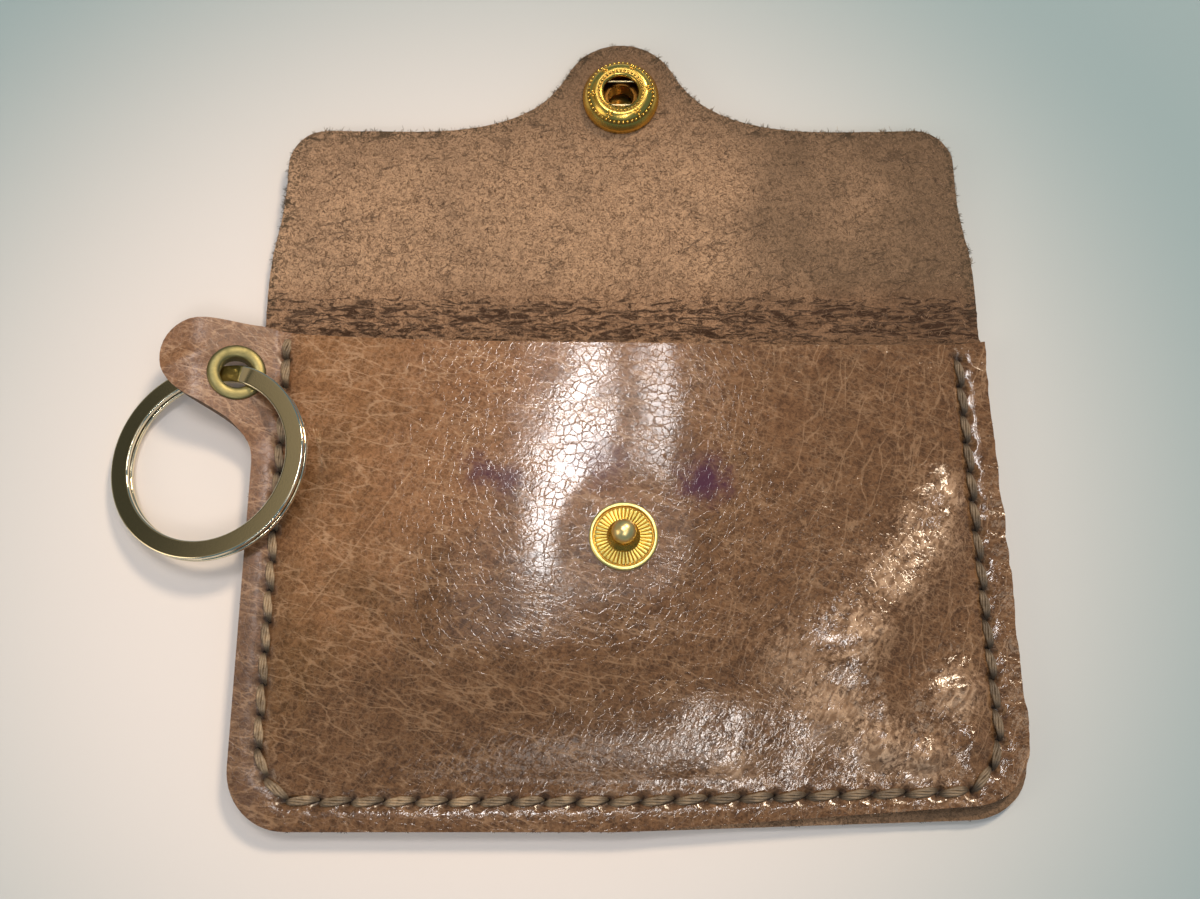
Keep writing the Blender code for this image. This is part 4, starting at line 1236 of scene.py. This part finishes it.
def split_key_ring(material):
    """Flat wire with rounded edges, wound twice, with the step from turn to turn in the eyelet."""
    inner = RING_DIAMETER / 2 - WIRE_WIDTH
    outer = RING_DIAMETER / 2
    half = WIRE_THICKNESS / 2
    corners = rounded([(inner, -half), (outer, -half), (outer, half), (inner, half)], WIRE_ROUND)
    section = with_support(corners)
    middle = (inner + outer) / 2
    step_half = STEP_LENGTH / 2 / middle
    end = (STEP_LENGTH / 2 + STEP_CLEAR) / middle
    full = 2 * math.pi
    angles = even_steps(end, full - step_half, TURN_STEPS)
    angles += even_steps(full - step_half, full + step_half, STEP_STEPS)[1:]
    angles += even_steps(full + step_half, 2 * full - end, TURN_STEPS)[1:]
    bm = bmesh.new()
    first = [bm.verts.new((radius, 0, height)) for radius, height in section]
    start_cap = bm.faces.new(first)
    tip = start_cap
    for i, angle in enumerate(angles):
        if i:
            grown = bmesh.ops.extrude_discrete_faces(bm, faces=[tip])
            tip = grown["faces"][0]
        for vert, (radius, height) in zip(tip.verts, section):
            vert.co = (radius * math.cos(angle), radius * math.sin(angle), wire_level(angle) + height)
    bmesh.ops.recalc_face_normals(bm, faces=bm.faces)
    bmesh.ops.transform(bm, matrix=ring_place(), verts=bm.verts)
    mesh = mesh_from("split_key_ring", bm, 40)
    return add_piece("split_key_ring", mesh, "ring", [material], ["split_ring"])


# Nodes

VECTOR = "NodeSocketVector"
FLOAT = "NodeSocketFloat"
COLOR = "NodeSocketColor"
MIX_SHARE = 0
MIX_FIRST = 6
MIX_SECOND = 7
MIX_COLOR = 2


def new_material(name):
    material = bpy.data.materials.new(name)
    material.use_nodes = True
    return material, material.node_tree, material.node_tree.nodes["Principled BSDF"]


def wire_in(tree, target, source):
    """Links a socket to an input, or sets the input's value."""
    if isinstance(source, bpy.types.NodeSocket):
        tree.links.new(source, target)
    else:
        target.default_value = source


def add_node(tree, kind, inputs=None, **settings):
    """A new node with its settings and inputs. Inputs go by their name or their number."""
    node = tree.nodes.new(kind)
    for name, value in settings.items():
        setattr(node, name, value)
    for name, value in (inputs or {}).items():
        wire_in(tree, node.inputs[name], value)
    return node


def math_node(tree, operation, first, second=0.0, third=0.0, clamp=False):
    node = add_node(tree, "ShaderNodeMath", operation=operation, use_clamp=clamp)
    for socket, value in zip(node.inputs, (first, second, third)):
        wire_in(tree, socket, value)
    return node.outputs[0]


def times(tree, first, second, clamp=False):
    return math_node(tree, "MULTIPLY", first, second, clamp=clamp)


def times_plus(tree, first, second, third):
    """The first value times the second, plus the third."""
    return math_node(tree, "MULTIPLY_ADD", first, second, third)


def less(tree, first, second, clamp=False):
    """The first value less the second."""
    return math_node(tree, "SUBTRACT", first, second, clamp=clamp)


def vector_node(tree, operation, first, second):
    return add_node(tree, "ShaderNodeVectorMath", {0: first, 1: second}, operation=operation).outputs


def distance_from(tree, place, middle):
    return vector_node(tree, "DISTANCE", place, middle)["Value"]


def measured_along(tree, place, direction):
    return vector_node(tree, "DOT_PRODUCT", place, direction)["Value"]


def coordinate(tree, place, axis):
    return add_node(tree, "ShaderNodeSeparateXYZ", {"Vector": place}).outputs[axis]


def mix_color(tree, share, first, second):
    """The first colour where the share is 0, and the second where it is 1."""
    node = add_node(tree, "ShaderNodeMix", {MIX_SHARE: share}, data_type="RGBA")
    wire_in(tree, node.inputs[MIX_FIRST], first)
    wire_in(tree, node.inputs[MIX_SECOND], second)
    return node.outputs[MIX_COLOR]


def tinted(tree, color, mask, strength, tint):
    """The colour moved towards a tint, by the strength where the mask is 1."""
    return mix_color(tree, times(tree, mask, strength), color, tint)


def noise_value(tree, vector, scale, detail=3.0, rough=0.5, warp=0.0):
    values = {"Vector": vector, "Scale": scale, "Detail": detail, "Roughness": rough, "Distortion": warp}
    return add_node(tree, "ShaderNodeTexNoise", values).outputs[0]


def spread(tree, value, low, high):
    """The value's range from low to high, spread over 0 to 1 with soft ends."""
    values = {"Value": value, "From Min": low, "From Max": high}
    return add_node(tree, "ShaderNodeMapRange", values, interpolation_type="SMOOTHSTEP").outputs[0]


def stretched(tree, vector, lengths, turn=0.0):
    """Place for a pattern that is so many times longer along its own axes, turned by an angle."""
    values = {"Vector": vector, "Scale": lengths, "Rotation": (0, 0, turn)}
    return add_node(tree, "ShaderNodeMapping", values, vector_type="TEXTURE").outputs[0]


def cut_place(tree):
    """Where a point of the leather lies while the wallet is open, in metres."""
    return add_node(tree, "ShaderNodeAttribute", attribute_name="cut_place").outputs["Vector"]


def mark_of(tree, name):
    return add_node(tree, "ShaderNodeAttribute", attribute_name=name).outputs["Fac"]


def object_place(tree):
    return add_node(tree, "ShaderNodeTexCoord").outputs["Object"]


def add_bump(tree, shader, height, strength, depth):
    bump = add_node(tree, "ShaderNodeBump", {"Height": height, "Strength": strength, "Distance": depth})
    tree.links.new(bump.outputs["Normal"], shader.inputs["Normal"])


def group(name, inputs, outputs):
    """A new node group with its input and output nodes. Inputs are name, kind and value."""
    tree = bpy.data.node_groups.new(name, "ShaderNodeTree")
    for title, kind, value in inputs:
        socket = tree.interface.new_socket(title, in_out="INPUT", socket_type=kind)
        if value is not None:
            socket.default_value = value
    for title, kind in outputs:
        tree.interface.new_socket(title, in_out="OUTPUT", socket_type=kind)
    return tree, tree.nodes.new("NodeGroupInput").outputs, tree.nodes.new("NodeGroupOutput").inputs


def placed(tree, shared, inputs):
    """Outputs of a node group that is placed in a material with its own values."""
    node = add_node(tree, "ShaderNodeGroup", node_tree=shared)
    for name, value in inputs.items():
        wire_in(tree, node.inputs[name], value)
    return node.outputs


# Effects that several materials share

CRACKLE_WAVER = 0.0022
FINE_WAVER = 0.0009
FIBRE_STRETCH = (1.9, 1.0, 1.0)


def crackle_group():
    """Fine broken lines between the cells of pulled-up leather."""
    tree, given, result = group(
        "leather_crackle",
        [
            ("Place", VECTOR, None),
            ("Scale", FLOAT, 300.0),
            ("Width", FLOAT, 0.06),
            ("Share", FLOAT, 0.5),
            ("Waver", FLOAT, CRACKLE_WAVER),
        ],
        [("Lines", FLOAT)],
    )
    bend = add_node(
        tree, "ShaderNodeTexNoise",
        {"Vector": given["Place"], "Scale": 330.0, "Detail": 5.0, "Roughness": 0.62},
    ).outputs["Color"]
    shifted = vector_node(tree, "SUBTRACT", bend, (0.5, 0.5, 0.5))[0]
    scaled = add_node(
        tree, "ShaderNodeVectorMath", {0: shifted, "Scale": given["Waver"]}, operation="SCALE"
    ).outputs[0]
    moved = vector_node(tree, "ADD", given["Place"], scaled)[0]
    cells = add_node(
        tree, "ShaderNodeTexVoronoi", {"Vector": moved, "Scale": given["Scale"]},
        feature="DISTANCE_TO_EDGE",
    ).outputs["Distance"]
    line = less(tree, 1.0, math_node(tree, "DIVIDE", cells, given["Width"]), clamp=True)
    patches = noise_value(tree, given["Place"], 240.0, 3.0)
    floor = less(tree, 0.75, times(tree, given["Share"], 0.5))
    shown = times(tree, less(tree, patches, floor), 7.0, clamp=True)
    tree.links.new(times(tree, line, shown), result["Lines"])
    return tree


def fibre_group():
    """Tangled short fibres, as on the flesh side and on cut edges."""
    tree, given, result = group(
        "leather_fibres", [("Place", VECTOR, None), ("Scale", FLOAT, 900.0)], [("Height", FLOAT)]
    )
    fine = noise_value(tree, given["Place"], given["Scale"], 4.0, 0.62, 1.8)
    finer = times(tree, given["Scale"], 2.3)
    one_way, other_way = [
        noise_value(tree, stretched(tree, given["Place"], FIBRE_STRETCH, turn), finer, 2.0, 0.6, 2.5)
        for turn in (0.6, -0.9)
    ]
    both = math_node(tree, "MAXIMUM", one_way, other_way)
    height = math_node(tree, "ADD", times(tree, fine, 0.55), times(tree, both, 0.5))
    tree.links.new(height, result["Height"])
    return tree


def patina_group():
    """Tarnish in soft patches over a metal's clean colour, with the roughness that goes with it."""
    tree, given, result = group(
        "metal_patina",
        [
            ("Place", VECTOR, None),
            ("Clean", COLOR, (0.8, 0.6, 0.2, 1)),
            ("Tarnished", COLOR, (0.3, 0.3, 0.1, 1)),
            ("Scale", FLOAT, 500.0),
            ("Share", FLOAT, 0.4),
            ("Gloss", FLOAT, 0.2),
            ("Dull", FLOAT, 0.5),
        ],
        [("Color", COLOR), ("Roughness", FLOAT), ("Height", FLOAT)],
    )
    patches = noise_value(tree, given["Place"], given["Scale"], 4.0, 0.6, 0.4)
    fine = noise_value(tree, given["Place"], 4200.0, 2.0)
    floor = less(tree, 0.82, times(tree, given["Share"], 0.6))
    mask = times(tree, less(tree, patches, floor), 3.0, clamp=True)
    tree.links.new(mix_color(tree, mask, given["Clean"], given["Tarnished"]), result["Color"])
    worn = times_plus(tree, less(tree, given["Dull"], given["Gloss"]), mask, given["Gloss"])
    speck = times(tree, less(tree, fine, 0.5), 0.10)
    tree.links.new(math_node(tree, "ADD", worn, speck), result["Roughness"])
    tree.links.new(math_node(tree, "ADD", mask, fine), result["Height"])
    return tree


CRACKLE = crackle_group()
FIBRES = fibre_group()
PATINA = patina_group()


def crackle(tree, place, scale, width, share, waver=CRACKLE_WAVER):
    """1 on the crackle's lines. The share says how much of the leather they cover."""
    values = {"Place": place, "Scale": scale, "Width": width, "Share": share, "Waver": waver}
    return placed(tree, CRACKLE, values)["Lines"]


def fibres(tree, place, scale):
    return placed(tree, FIBRES, {"Place": place, "Scale": scale})["Height"]


# Leather

# Ink smudges on the pocket: middle, half width and strength
SMUDGES = (
    ((0.0117, 0.0127, 0.0075), 0.0040, 0.95),
    ((-0.0208, 0.0142, 0.0072), 0.0027, 0.75),
    ((-0.0165, 0.0127, 0.0073), 0.0023, 0.65),
    ((-0.0030, 0.0150, 0.0075), 0.0044, 0.45),
)

# Long fine scratches on the pocket: both ends
SCRATCHES = (
    ((-0.0470, -0.0090), (-0.0290, 0.0165)),
    ((-0.0480, 0.0090), (-0.0390, 0.0010)),
    ((0.0180, 0.0300), (0.0150, 0.0140)),
    ((0.0330, 0.0320), (0.0325, 0.0230)),
    ((-0.0330, -0.0080), (-0.0240, -0.0160)),
)
SCRATCH_HALF = 0.00016
SCRATCH_STRENGTH = 0.7

# Where the leather is pulled up and so paler, partly painted sheen of the glints in its wrinkles: middle,
# half width and strength
PULLED_SHEEN = (
    ((0.0325, -0.0085, 0.0060), 0.0048, 0.62),
    ((0.0380, -0.0010, 0.0060), 0.0050, 0.52),
    ((0.0430, 0.0050, 0.0055), 0.0050, 0.52),
    ((0.0465, 0.0115, 0.0050), 0.0036, 0.45),
    ((0.0285, -0.0190, 0.0050), 0.0062, 0.52),
    ((0.0345, -0.0245, 0.0045), 0.0052, 0.62),
    ((0.0410, -0.0265, 0.0040), 0.0044, 0.52),
    ((0.0460, -0.0170, 0.0040), 0.0040, 0.55),
    ((0.0240, -0.0130, 0.0060), 0.0060, 0.26),
    ((0.0150, -0.0270, 0.0040), 0.0036, 0.40),
)


def scratch_line(tree, place, first, last):
    """1 on a straight fine scratch that fades out at both ends."""
    run = Vector(last) - Vector(first)
    along = run.normalized()
    offset = vector_node(tree, "SUBTRACT", place, (*first, 0))[0]
    share = measured_along(tree, offset, (*(along / run.length), 0))
    away = math_node(tree, "ABSOLUTE", measured_along(tree, offset, (-along.y, along.x, 0)))
    line = less(tree, 1.0, math_node(tree, "DIVIDE", away, SCRATCH_HALF), clamp=True)
    ends = times(tree, times(tree, share, less(tree, 1.0, share)), 8.0, clamp=True)
    return times(tree, line, ends)


def light_network(tree, place, blotchy):
    """Fine light lines of the grain: long ones, which turn upright to the right, and small ones."""
    level_lines = stretched(tree, place, (2.0, 0.62, 1.0), -0.28)
    upright_lines = stretched(tree, place, (2.0, 0.62, 1.0), 1.25)
    level_set = crackle(tree, level_lines, 290.0, 0.046, 0.70)
    upright_set = crackle(tree, upright_lines, 290.0, 0.046, 0.66)
    to_right = spread(tree, times_plus(tree, blotchy, 0.02, coordinate(tree, place, "X")), 0.000, 0.045)
    long_lines = times_plus(tree, level_set, less(tree, 1.0, to_right), times(tree, upright_set, to_right))
    small = crackle(tree, level_lines, 600.0, 0.070, 0.70)
    tiny = crackle(tree, place, 1050.0, 0.120, 0.72, FINE_WAVER)
    lines = times_plus(tree, tiny, 0.40, times_plus(tree, small, 0.62, long_lines))
    for first, last in SCRATCHES:
        lines = times_plus(tree, scratch_line(tree, place, first, last), SCRATCH_STRENGTH, lines)
    return math_node(tree, "ADD", lines, 0.0, clamp=True)


def crumple(tree, cloud, across, upward):
    """How deeply the grain is wrinkled: most at the lower right and along the foot."""
    right = spread(tree, times_plus(tree, cloud, 0.04, across), 0.020, 0.034)
    lower = spread(tree, times_plus(tree, across, -0.5, upward), 0.000, -0.014)
    corner = times(tree, right, times_plus(tree, lower, 0.96, 0.04))
    foot = times(tree, spread(tree, upward, -0.018, -0.025), 0.75)
    return times_plus(tree, math_node(tree, "MAXIMUM", corner, foot), 0.62, 0.036)


def grain_leather():
    """Glossy brown pull-up leather: mottled, crackled in fine light lines, with painted shade at the stitch
    holes.
    """
    material, tree, shader = new_material("grain_leather")
    place = cut_place(tree)
    across = coordinate(tree, place, "X")
    upward = coordinate(tree, place, "Y")
    cloud = less(tree, noise_value(tree, place, 60.0, 4.0, 0.6, 0.3), 0.5)
    blotchy = noise_value(tree, place, 330.0, 4.0, 0.65, 0.4)
    clumps = noise_value(tree, stretched(tree, place, (1.5, 1.0, 1.0), 0.9), 900.0, 5.0, 0.72, 0.6)
    specks = noise_value(tree, stretched(tree, place, (1.5, 1.0, 1.0), -0.5), 2600.0, 4.0, 0.75, 0.7)
    tone = times_plus(tree, clumps, 0.5, times(tree, specks, 0.5))
    wrinkles = noise_value(tree, stretched(tree, place, (1.8, 1.0, 1.0), 0.9), 900.0, 2.0, 0.5, 1.0)
    crinkle_glints = spread(tree, times_plus(tree, specks, 0.35, wrinkles), 0.56, 0.78)
    lines = light_network(tree, place, blotchy)
    hole = times(tree, mark_of(tree, "hole"), 1.2, clamp=True)

    # Lighter towards the top and the left, darker towards the lower right: partly painted falloff of the
    # light, partly the leather's own tone.
    higher = spread(tree, times_plus(tree, cloud, 0.10, upward), -0.016, 0.026)
    aside = spread(tree, times_plus(tree, cloud, 0.10, across), -0.020, 0.036)
    level = times(tree, higher, times_plus(tree, aside, -0.92, 1.0))
    dark_tone = mix_color(tree, level, (0.070, 0.032, 0.012, 1), (0.165, 0.073, 0.030, 1))
    pale_tone = mix_color(tree, level, (0.200, 0.099, 0.042, 1), (0.385, 0.188, 0.086, 1))
    color = mix_color(tree, spread(tree, tone, 0.62, 0.38), dark_tone, pale_tone)
    # Paler warm patches at the lower right: partly pulled-up leather, partly painted sheen broken into
    # painted glints along the wrinkles.
    for middle, half, strength in PULLED_SHEEN:
        ragged = times_plus(tree, less(tree, tone, 0.5), half * 5.0, distance_from(tree, place, middle))
        mask = less(tree, 1.0, spread(tree, ragged, 0.0, half * 1.25))
        weight = times(tree, mask, times_plus(tree, crinkle_glints, 1.2, 0.25))
        weight = times(tree, weight, strength, clamp=True)
        color = mix_color(tree, weight, color, (0.74, 0.49, 0.31, 1))
    at_tab = spread(tree, across, -0.046, -0.051)
    color = tinted(tree, color, at_tab, 0.30, (0.115, 0.050, 0.022, 1))
    line_color = mix_color(tree, level, (0.36, 0.212, 0.112, 1), (0.58, 0.350, 0.200, 1))
    color = tinted(tree, color, lines, 0.66, line_color)
    for middle, half, strength in SMUDGES:
        ragged = times_plus(tree, less(tree, blotchy, 0.5), half * 2.4, distance_from(tree, place, middle))
        mask = less(tree, 1.0, spread(tree, ragged, half * 0.05, half * 1.45))
        color = tinted(tree, color, mask, strength, (0.080, 0.022, 0.044, 1))
    # Painted shade in the stitch holes.
    color = mix_color(tree, hole, color, (0.018, 0.011, 0.008, 1))
    tree.links.new(color, shader.inputs["Base Color"])

    roughness = times_plus(tree, at_tab, 0.20, times_plus(tree, blotchy, 0.07, 0.07))
    roughness = math_node(tree, "ADD", roughness, times(tree, hole, 0.4), clamp=True)
    tree.links.new(roughness, shader.inputs["Roughness"])
    shader.inputs["IOR"].default_value = 1.5

    furrows = crackle(tree, place, 820.0, 0.055, 0.95, FINE_WAVER)
    height = times_plus(tree, wrinkles, crumple(tree, cloud, across, upward), times(tree, blotchy, 0.03))
    height = times_plus(tree, furrows, -0.050, height)
    height = times_plus(tree, lines, -0.030, height)
    calm = times(tree, spread(tree, across, 0.010, 0.024), spread(tree, upward, 0.010, 0.020))
    height = times(tree, height, times_plus(tree, calm, -0.45, 1.0))
    add_bump(tree, shader, height, 0.8, 0.00020)
    return material


def suede_colors(tree, place):
    """Colour and height of the flesh side's nap: fibrous, parted in dark lines, darker to the right in a
    painted falloff of the light.
    """
    nap = fibres(tree, place, 1250.0)
    cloudy = noise_value(tree, place, 60.0, 3.0, 0.6)
    tufts = noise_value(tree, place, 620.0, 4.0, 0.7, 0.8)
    partings = crackle(tree, stretched(tree, place, (1.3, 0.7, 1.0), 0.3), 360.0, 0.085, 0.46, 0.003)
    ragged = times_plus(tree, less(tree, cloudy, 0.5), 0.05, coordinate(tree, place, "X"))
    on_tongue = spread(tree, coordinate(tree, place, "Y"), 0.058, 0.084)
    color = mix_color(
        tree, spread(tree, nap, 0.42, 0.62), (0.150, 0.082, 0.042, 1), (0.660, 0.400, 0.232, 1)
    )
    color = tinted(tree, color, spread(tree, cloudy, 0.42, 0.70), 0.25, (0.190, 0.120, 0.075, 1))
    color = tinted(tree, color, spread(tree, tufts, 0.52, 0.70), 0.40, (0.13, 0.072, 0.040, 1))
    color = tinted(tree, color, partings, 0.60, (0.060, 0.034, 0.020, 1))
    # Painted falloff of the light: darker to the right.
    color = tinted(tree, color, spread(tree, ragged, 0.006, 0.046), 0.72, (0.105, 0.066, 0.037, 1))
    color = tinted(tree, color, on_tongue, 0.70, (0.120, 0.070, 0.038, 1))
    return color, less(tree, nap, times(tree, partings, 0.4))


def suede():
    """Flesh side: a fibrous nap in light and dark tufts, worn dark and creased along the fold."""
    material, tree, shader = new_material("suede")
    place = cut_place(tree)
    color, nap = suede_colors(tree, place)
    crease = mark_of(tree, "crease")
    streaks = noise_value(tree, stretched(tree, place, (3.2, 1.0, 1.0)), 950.0, 5.0, 0.7, 1.5)
    worn = spread(tree, times_plus(tree, less(tree, crease, 1.0), 0.30, streaks), 0.47, 0.58)
    color = tinted(tree, color, crease, 0.35, (0.190, 0.080, 0.036, 1))
    color = tinted(tree, color, worn, 0.88, (0.038, 0.015, 0.007, 1))
    fringe = times(tree, mark_of(tree, "rim"), spread(tree, nap, 0.62, 0.44))
    color = mix_color(tree, fringe, color, (0.075, 0.050, 0.028, 1))
    tree.links.new(color, shader.inputs["Base Color"])
    shader.inputs["Roughness"].default_value = 0.95
    shader.inputs["Specular IOR Level"].default_value = 0.2
    shader.inputs["Sheen Weight"].default_value = 0.15
    shader.inputs["Sheen Roughness"].default_value = 0.6
    shader.inputs["Sheen Tint"].default_value = (0.75, 0.55, 0.42, 1)
    add_bump(tree, shader, less(tree, nap, times(tree, worn, 0.5)), 0.9, 0.00045)
    return material


def cut_edge():
    """Raw edge of the leather, darker than its faces and fibrous."""
    material, tree, shader = new_material("cut_edge")
    nap = fibres(tree, cut_place(tree), 1700.0)
    color = mix_color(tree, spread(tree, nap, 0.36, 0.66), (0.045, 0.026, 0.016, 1), (0.21, 0.125, 0.075, 1))
    tree.links.new(color, shader.inputs["Base Color"])
    shader.inputs["Roughness"].default_value = 0.9
    add_bump(tree, shader, nap, 0.8, 0.0003)
    return material


def fibres_material(name, dark, pale):
    """Loose fibres, each a shade of its own between dark and pale."""
    material, tree, shader = new_material(name)
    shades = noise_value(tree, object_place(tree), 900.0, 2.0)
    color = mix_color(tree, spread(tree, shades, 0.38, 0.62), (*dark, 1), (*pale, 1))
    tree.links.new(color, shader.inputs["Base Color"])
    shader.inputs["Roughness"].default_value = 0.85
    return material


# Thread, metal and table

def waxed_thread():
    """Brown waxed thread: dull in the lay, with paler strands that paint highlights where the wax shines,
    and painted shade where it dives into a hole.
    """
    material, tree, shader = new_material("waxed_thread")
    place = object_place(tree)
    shades = noise_value(tree, place, 420.0, 3.0, 0.6)
    strands = noise_value(tree, place, 3600.0, 3.0, 0.6, 0.5)
    to_right = spread(tree, coordinate(tree, place, "X"), -0.03, 0.03)
    color = mix_color(
        tree, spread(tree, shades, 0.38, 0.64), (0.205, 0.138, 0.078, 1), (0.48, 0.33, 0.19, 1)
    )
    # Pale strands: painted highlights of the wax.
    color = tinted(tree, color, spread(tree, strands, 0.5, 0.75), 0.5, (0.52, 0.39, 0.25, 1))
    color = tinted(tree, color, to_right, 0.55, (0.10, 0.068, 0.040, 1))
    # Painted shade where the thread dives into a hole.
    color = tinted(tree, color, mark_of(tree, "hole"), 0.80, (0.036, 0.030, 0.024, 1))
    tree.links.new(color, shader.inputs["Base Color"])
    tree.links.new(times_plus(tree, strands, 0.35, 0.30), shader.inputs["Roughness"])
    add_bump(tree, shader, strands, 0.6, 0.00012)
    return material


def metal(name, clean, tarnished, scale, share, gloss, dull, bumps=0.15):
    """A metal with soft patches of tarnish."""
    material, tree, shader = new_material(name)
    made = placed(tree, PATINA, {
        "Place": object_place(tree),
        "Clean": (*clean, 1),
        "Tarnished": (*tarnished, 1),
        "Scale": scale,
        "Share": share,
        "Gloss": gloss,
        "Dull": dull,
    })
    shader.inputs["Metallic"].default_value = 1
    tree.links.new(made["Color"], shader.inputs["Base Color"])
    tree.links.new(made["Roughness"], shader.inputs["Roughness"])
    add_bump(tree, shader, made["Height"], bumps, 0.00004)
    return material


def floor_material():
    """Pale table with a painted pool of warm light beside the wallet, fading to cooler, greyer painted shade
    away from it.
    """
    material, tree, shader = new_material("table_top")
    away = distance_from(tree, object_place(tree), (-0.021, 0.010, 0))
    # Painted pool of light round the wallet, fading with distance.
    color = mix_color(tree, spread(tree, away, 0.042, 0.130), (0.88, 0.80, 0.745, 1), (0.31, 0.41, 0.42, 1))
    tree.links.new(color, shader.inputs["Base Color"])
    shader.inputs["Roughness"].default_value = 0.75
    return material


def build_pieces():
    """Every piece of the wallet, and the finishes of the four CAD nodes that stay."""
    grain = grain_leather()
    flesh = suede()
    edge = cut_edge()
    edge_fibres = fibres_material("fibre_ends", (0.070, 0.050, 0.028), (0.26, 0.18, 0.11))
    nap_fibres = fibres_material("nap_fibres", (0.090, 0.050, 0.028), (0.46, 0.28, 0.165))
    brass = metal("brass", (0.80, 0.52, 0.11), (0.44, 0.33, 0.08), 300.0, 0.45, 0.24, 0.40)
    gilt = metal("gilt_brass", (1.0, 0.84, 0.29), (0.90, 0.66, 0.17), 900.0, 0.25, 0.32, 0.46)
    # Amber brass: painted shade in the stud's hollows.
    amber_shade = metal("amber_brass", (0.55, 0.30, 0.05), (0.30, 0.15, 0.025), 800.0, 0.40, 0.28, 0.45)
    ball = metal("ball_brass", (1.0, 0.76, 0.32), (0.76, 0.53, 0.20), 700.0, 0.38, 0.36, 0.50)
    seat = metal("seat_brass", (0.42, 0.24, 0.05), (0.22, 0.13, 0.03), 700.0, 0.45, 0.30, 0.46)
    rolled = metal("rolled_brass", (0.31, 0.26, 0.11), (0.17, 0.16, 0.07), 420.0, 0.60, 0.44, 0.58)
    # Very dark brass inside the socket and the cap: painted shade.
    inner = metal("inner_shade_brass", (0.20, 0.085, 0.016), (0.08, 0.035, 0.008), 900.0, 0.5, 0.30, 0.5)
    plated = metal("plated_steel", (0.80, 0.72, 0.52), (0.62, 0.58, 0.42), 260.0, 0.25, 0.08, 0.16, 0.05)
    spring = metal("spring_wire", (0.70, 0.56, 0.30), (0.45, 0.33, 0.15), 900.0, 0.3, 0.28, 0.40)

    front_panel([grain, flesh, edge])
    back_and_flap([flesh, grain, edge])
    stitched_seam(waxed_thread())
    loose_fibres(edge_fibres, nap_fibres)
    snap_socket([brass, seat])
    snap_spring(spring)
    snap_cap(brass)
    snap_stud([gilt, amber_shade, ball])
    rolled_eyelet(rolled)
    split_key_ring(plated)
    finishes = {
        "socket_plate": inner, "snap_cap_post": inner, "stud_post": rolled, "eyelet_washer": rolled,
    }
    for name, material in finishes.items():
        node = frame["nodes"][name]
        node.data.materials.clear()
        node.data.materials.append(material)


# Table, camera and light

CAMERA = Vector((-0.0033, -0.032504, 0.179628))
CAMERA_TILT = math.radians(16.1)
LENS = 37.5
SENSOR = 36.0
TABLE_HALF = 1.5
DARK_CORNER = (-0.70, 0.31, 0.64)


def table():
    bm = bmesh.new()
    bmesh.ops.create_grid(bm, x_segments=1, y_segments=1, size=TABLE_HALF)
    mesh = bpy.data.meshes.new("table_top")
    bm.to_mesh(mesh)
    bm.free()
    floor = bpy.data.objects.new("table_top", mesh)
    bpy.context.scene.collection.objects.link(floor)
    mesh.materials.append(floor_material())


def camera():
    data = bpy.data.cameras.new("camera")
    data.lens = LENS
    data.sensor_width = SENSOR
    data.clip_start = 0.01
    made = bpy.data.objects.new("camera", data)
    made.location = CAMERA
    made.rotation_euler = (CAMERA_TILT, 0, 0)
    bpy.context.scene.collection.objects.link(made)
    bpy.context.scene.camera = made


def lamp(name, place, width, length, power, color, turn=0.0):
    """A soft lamp that faces the wallet. Its length runs away from the viewer, turned by an angle."""
    data = bpy.data.lights.new(name, "AREA")
    data.shape = "RECTANGLE"
    data.size = width
    data.size_y = length
    data.energy = power
    data.color = color
    made = bpy.data.objects.new(name, data)
    back = Vector(place).normalized()
    along = (Vector((0, 1, 0)) - back * back.y).normalized()
    facing = Matrix((along.cross(back), along, back)).transposed().to_4x4()
    made.matrix_world = Matrix.Translation(place) @ facing @ Matrix.Rotation(turn, 4, "Z")
    bpy.context.scene.collection.objects.link(made)


def world_light():
    """Cool room light with a dark corner overhead on the left, which the ring's flat face shows."""
    world = bpy.data.worlds.new("room")
    world.use_nodes = True
    bpy.context.scene.world = world
    tree = world.node_tree
    direction = add_node(tree, "ShaderNodeTexCoord").outputs["Generated"]
    toward = measured_along(tree, direction, DARK_CORNER)
    near = spread(tree, toward, 0.86, 0.95)
    color = mix_color(tree, near, (0.145, 0.250, 0.355, 1), (0.42, 0.35, 0.24, 1))
    color = mix_color(tree, spread(tree, toward, 0.974, 0.995), color, (0.070, 0.068, 0.048, 1))
    tree.links.new(color, tree.nodes["Background"].inputs["Color"])
    tree.nodes["Background"].inputs["Strength"].default_value = 0.78


def light():
    """Key light from the upper right, and the lamps that the leather and the metal mirror."""
    warm = (1.0, 0.81, 0.60)
    pale = (1.0, 0.93, 0.88)
    lamp("key", (0.48, 0.70, 0.88), 0.24, 0.18, 7.7, warm)
    lamp("beside", (0.48, -0.10, 1.0), 0.28, 0.36, 0.9, (1.0, 0.82, 0.62))
    lamp("flare", (0.165, -0.50, 0.90), 0.036, 0.400, 1.55, pale, math.radians(-9))
    lamp("long_strip", (-0.102, 0.305, 1.0), 0.052, 0.230, 1.62, (1.0, 0.96, 0.95), math.radians(-28.6))
    lamp("short_strip", (0.096, 0.355, 1.0), 0.046, 0.120, 0.48, (1.0, 0.96, 0.95), math.radians(-4))
    lamp("low_strip", (-0.115, 0.190, 1.0), 0.090, 0.030, 0.09, pale)
    lamp("wide", (0.0, 0.31, 1.05), 0.26, 0.24, 0.18, pale)
    lamp("soft", (-0.20, 0.14, 1.0), 0.20, 0.14, 0.10, (1.0, 0.84, 0.80))
    lamp("left", (-0.36, -0.10, 0.22), 0.20, 0.20, 0.26, warm)
    lamp("front", (0.02, -0.56, 0.76), 0.28, 0.15, 0.35, pale)
    world_light()


build_pieces()
table()
camera()
light()
bpy.context.scene.view_settings.view_transform = "Standard"
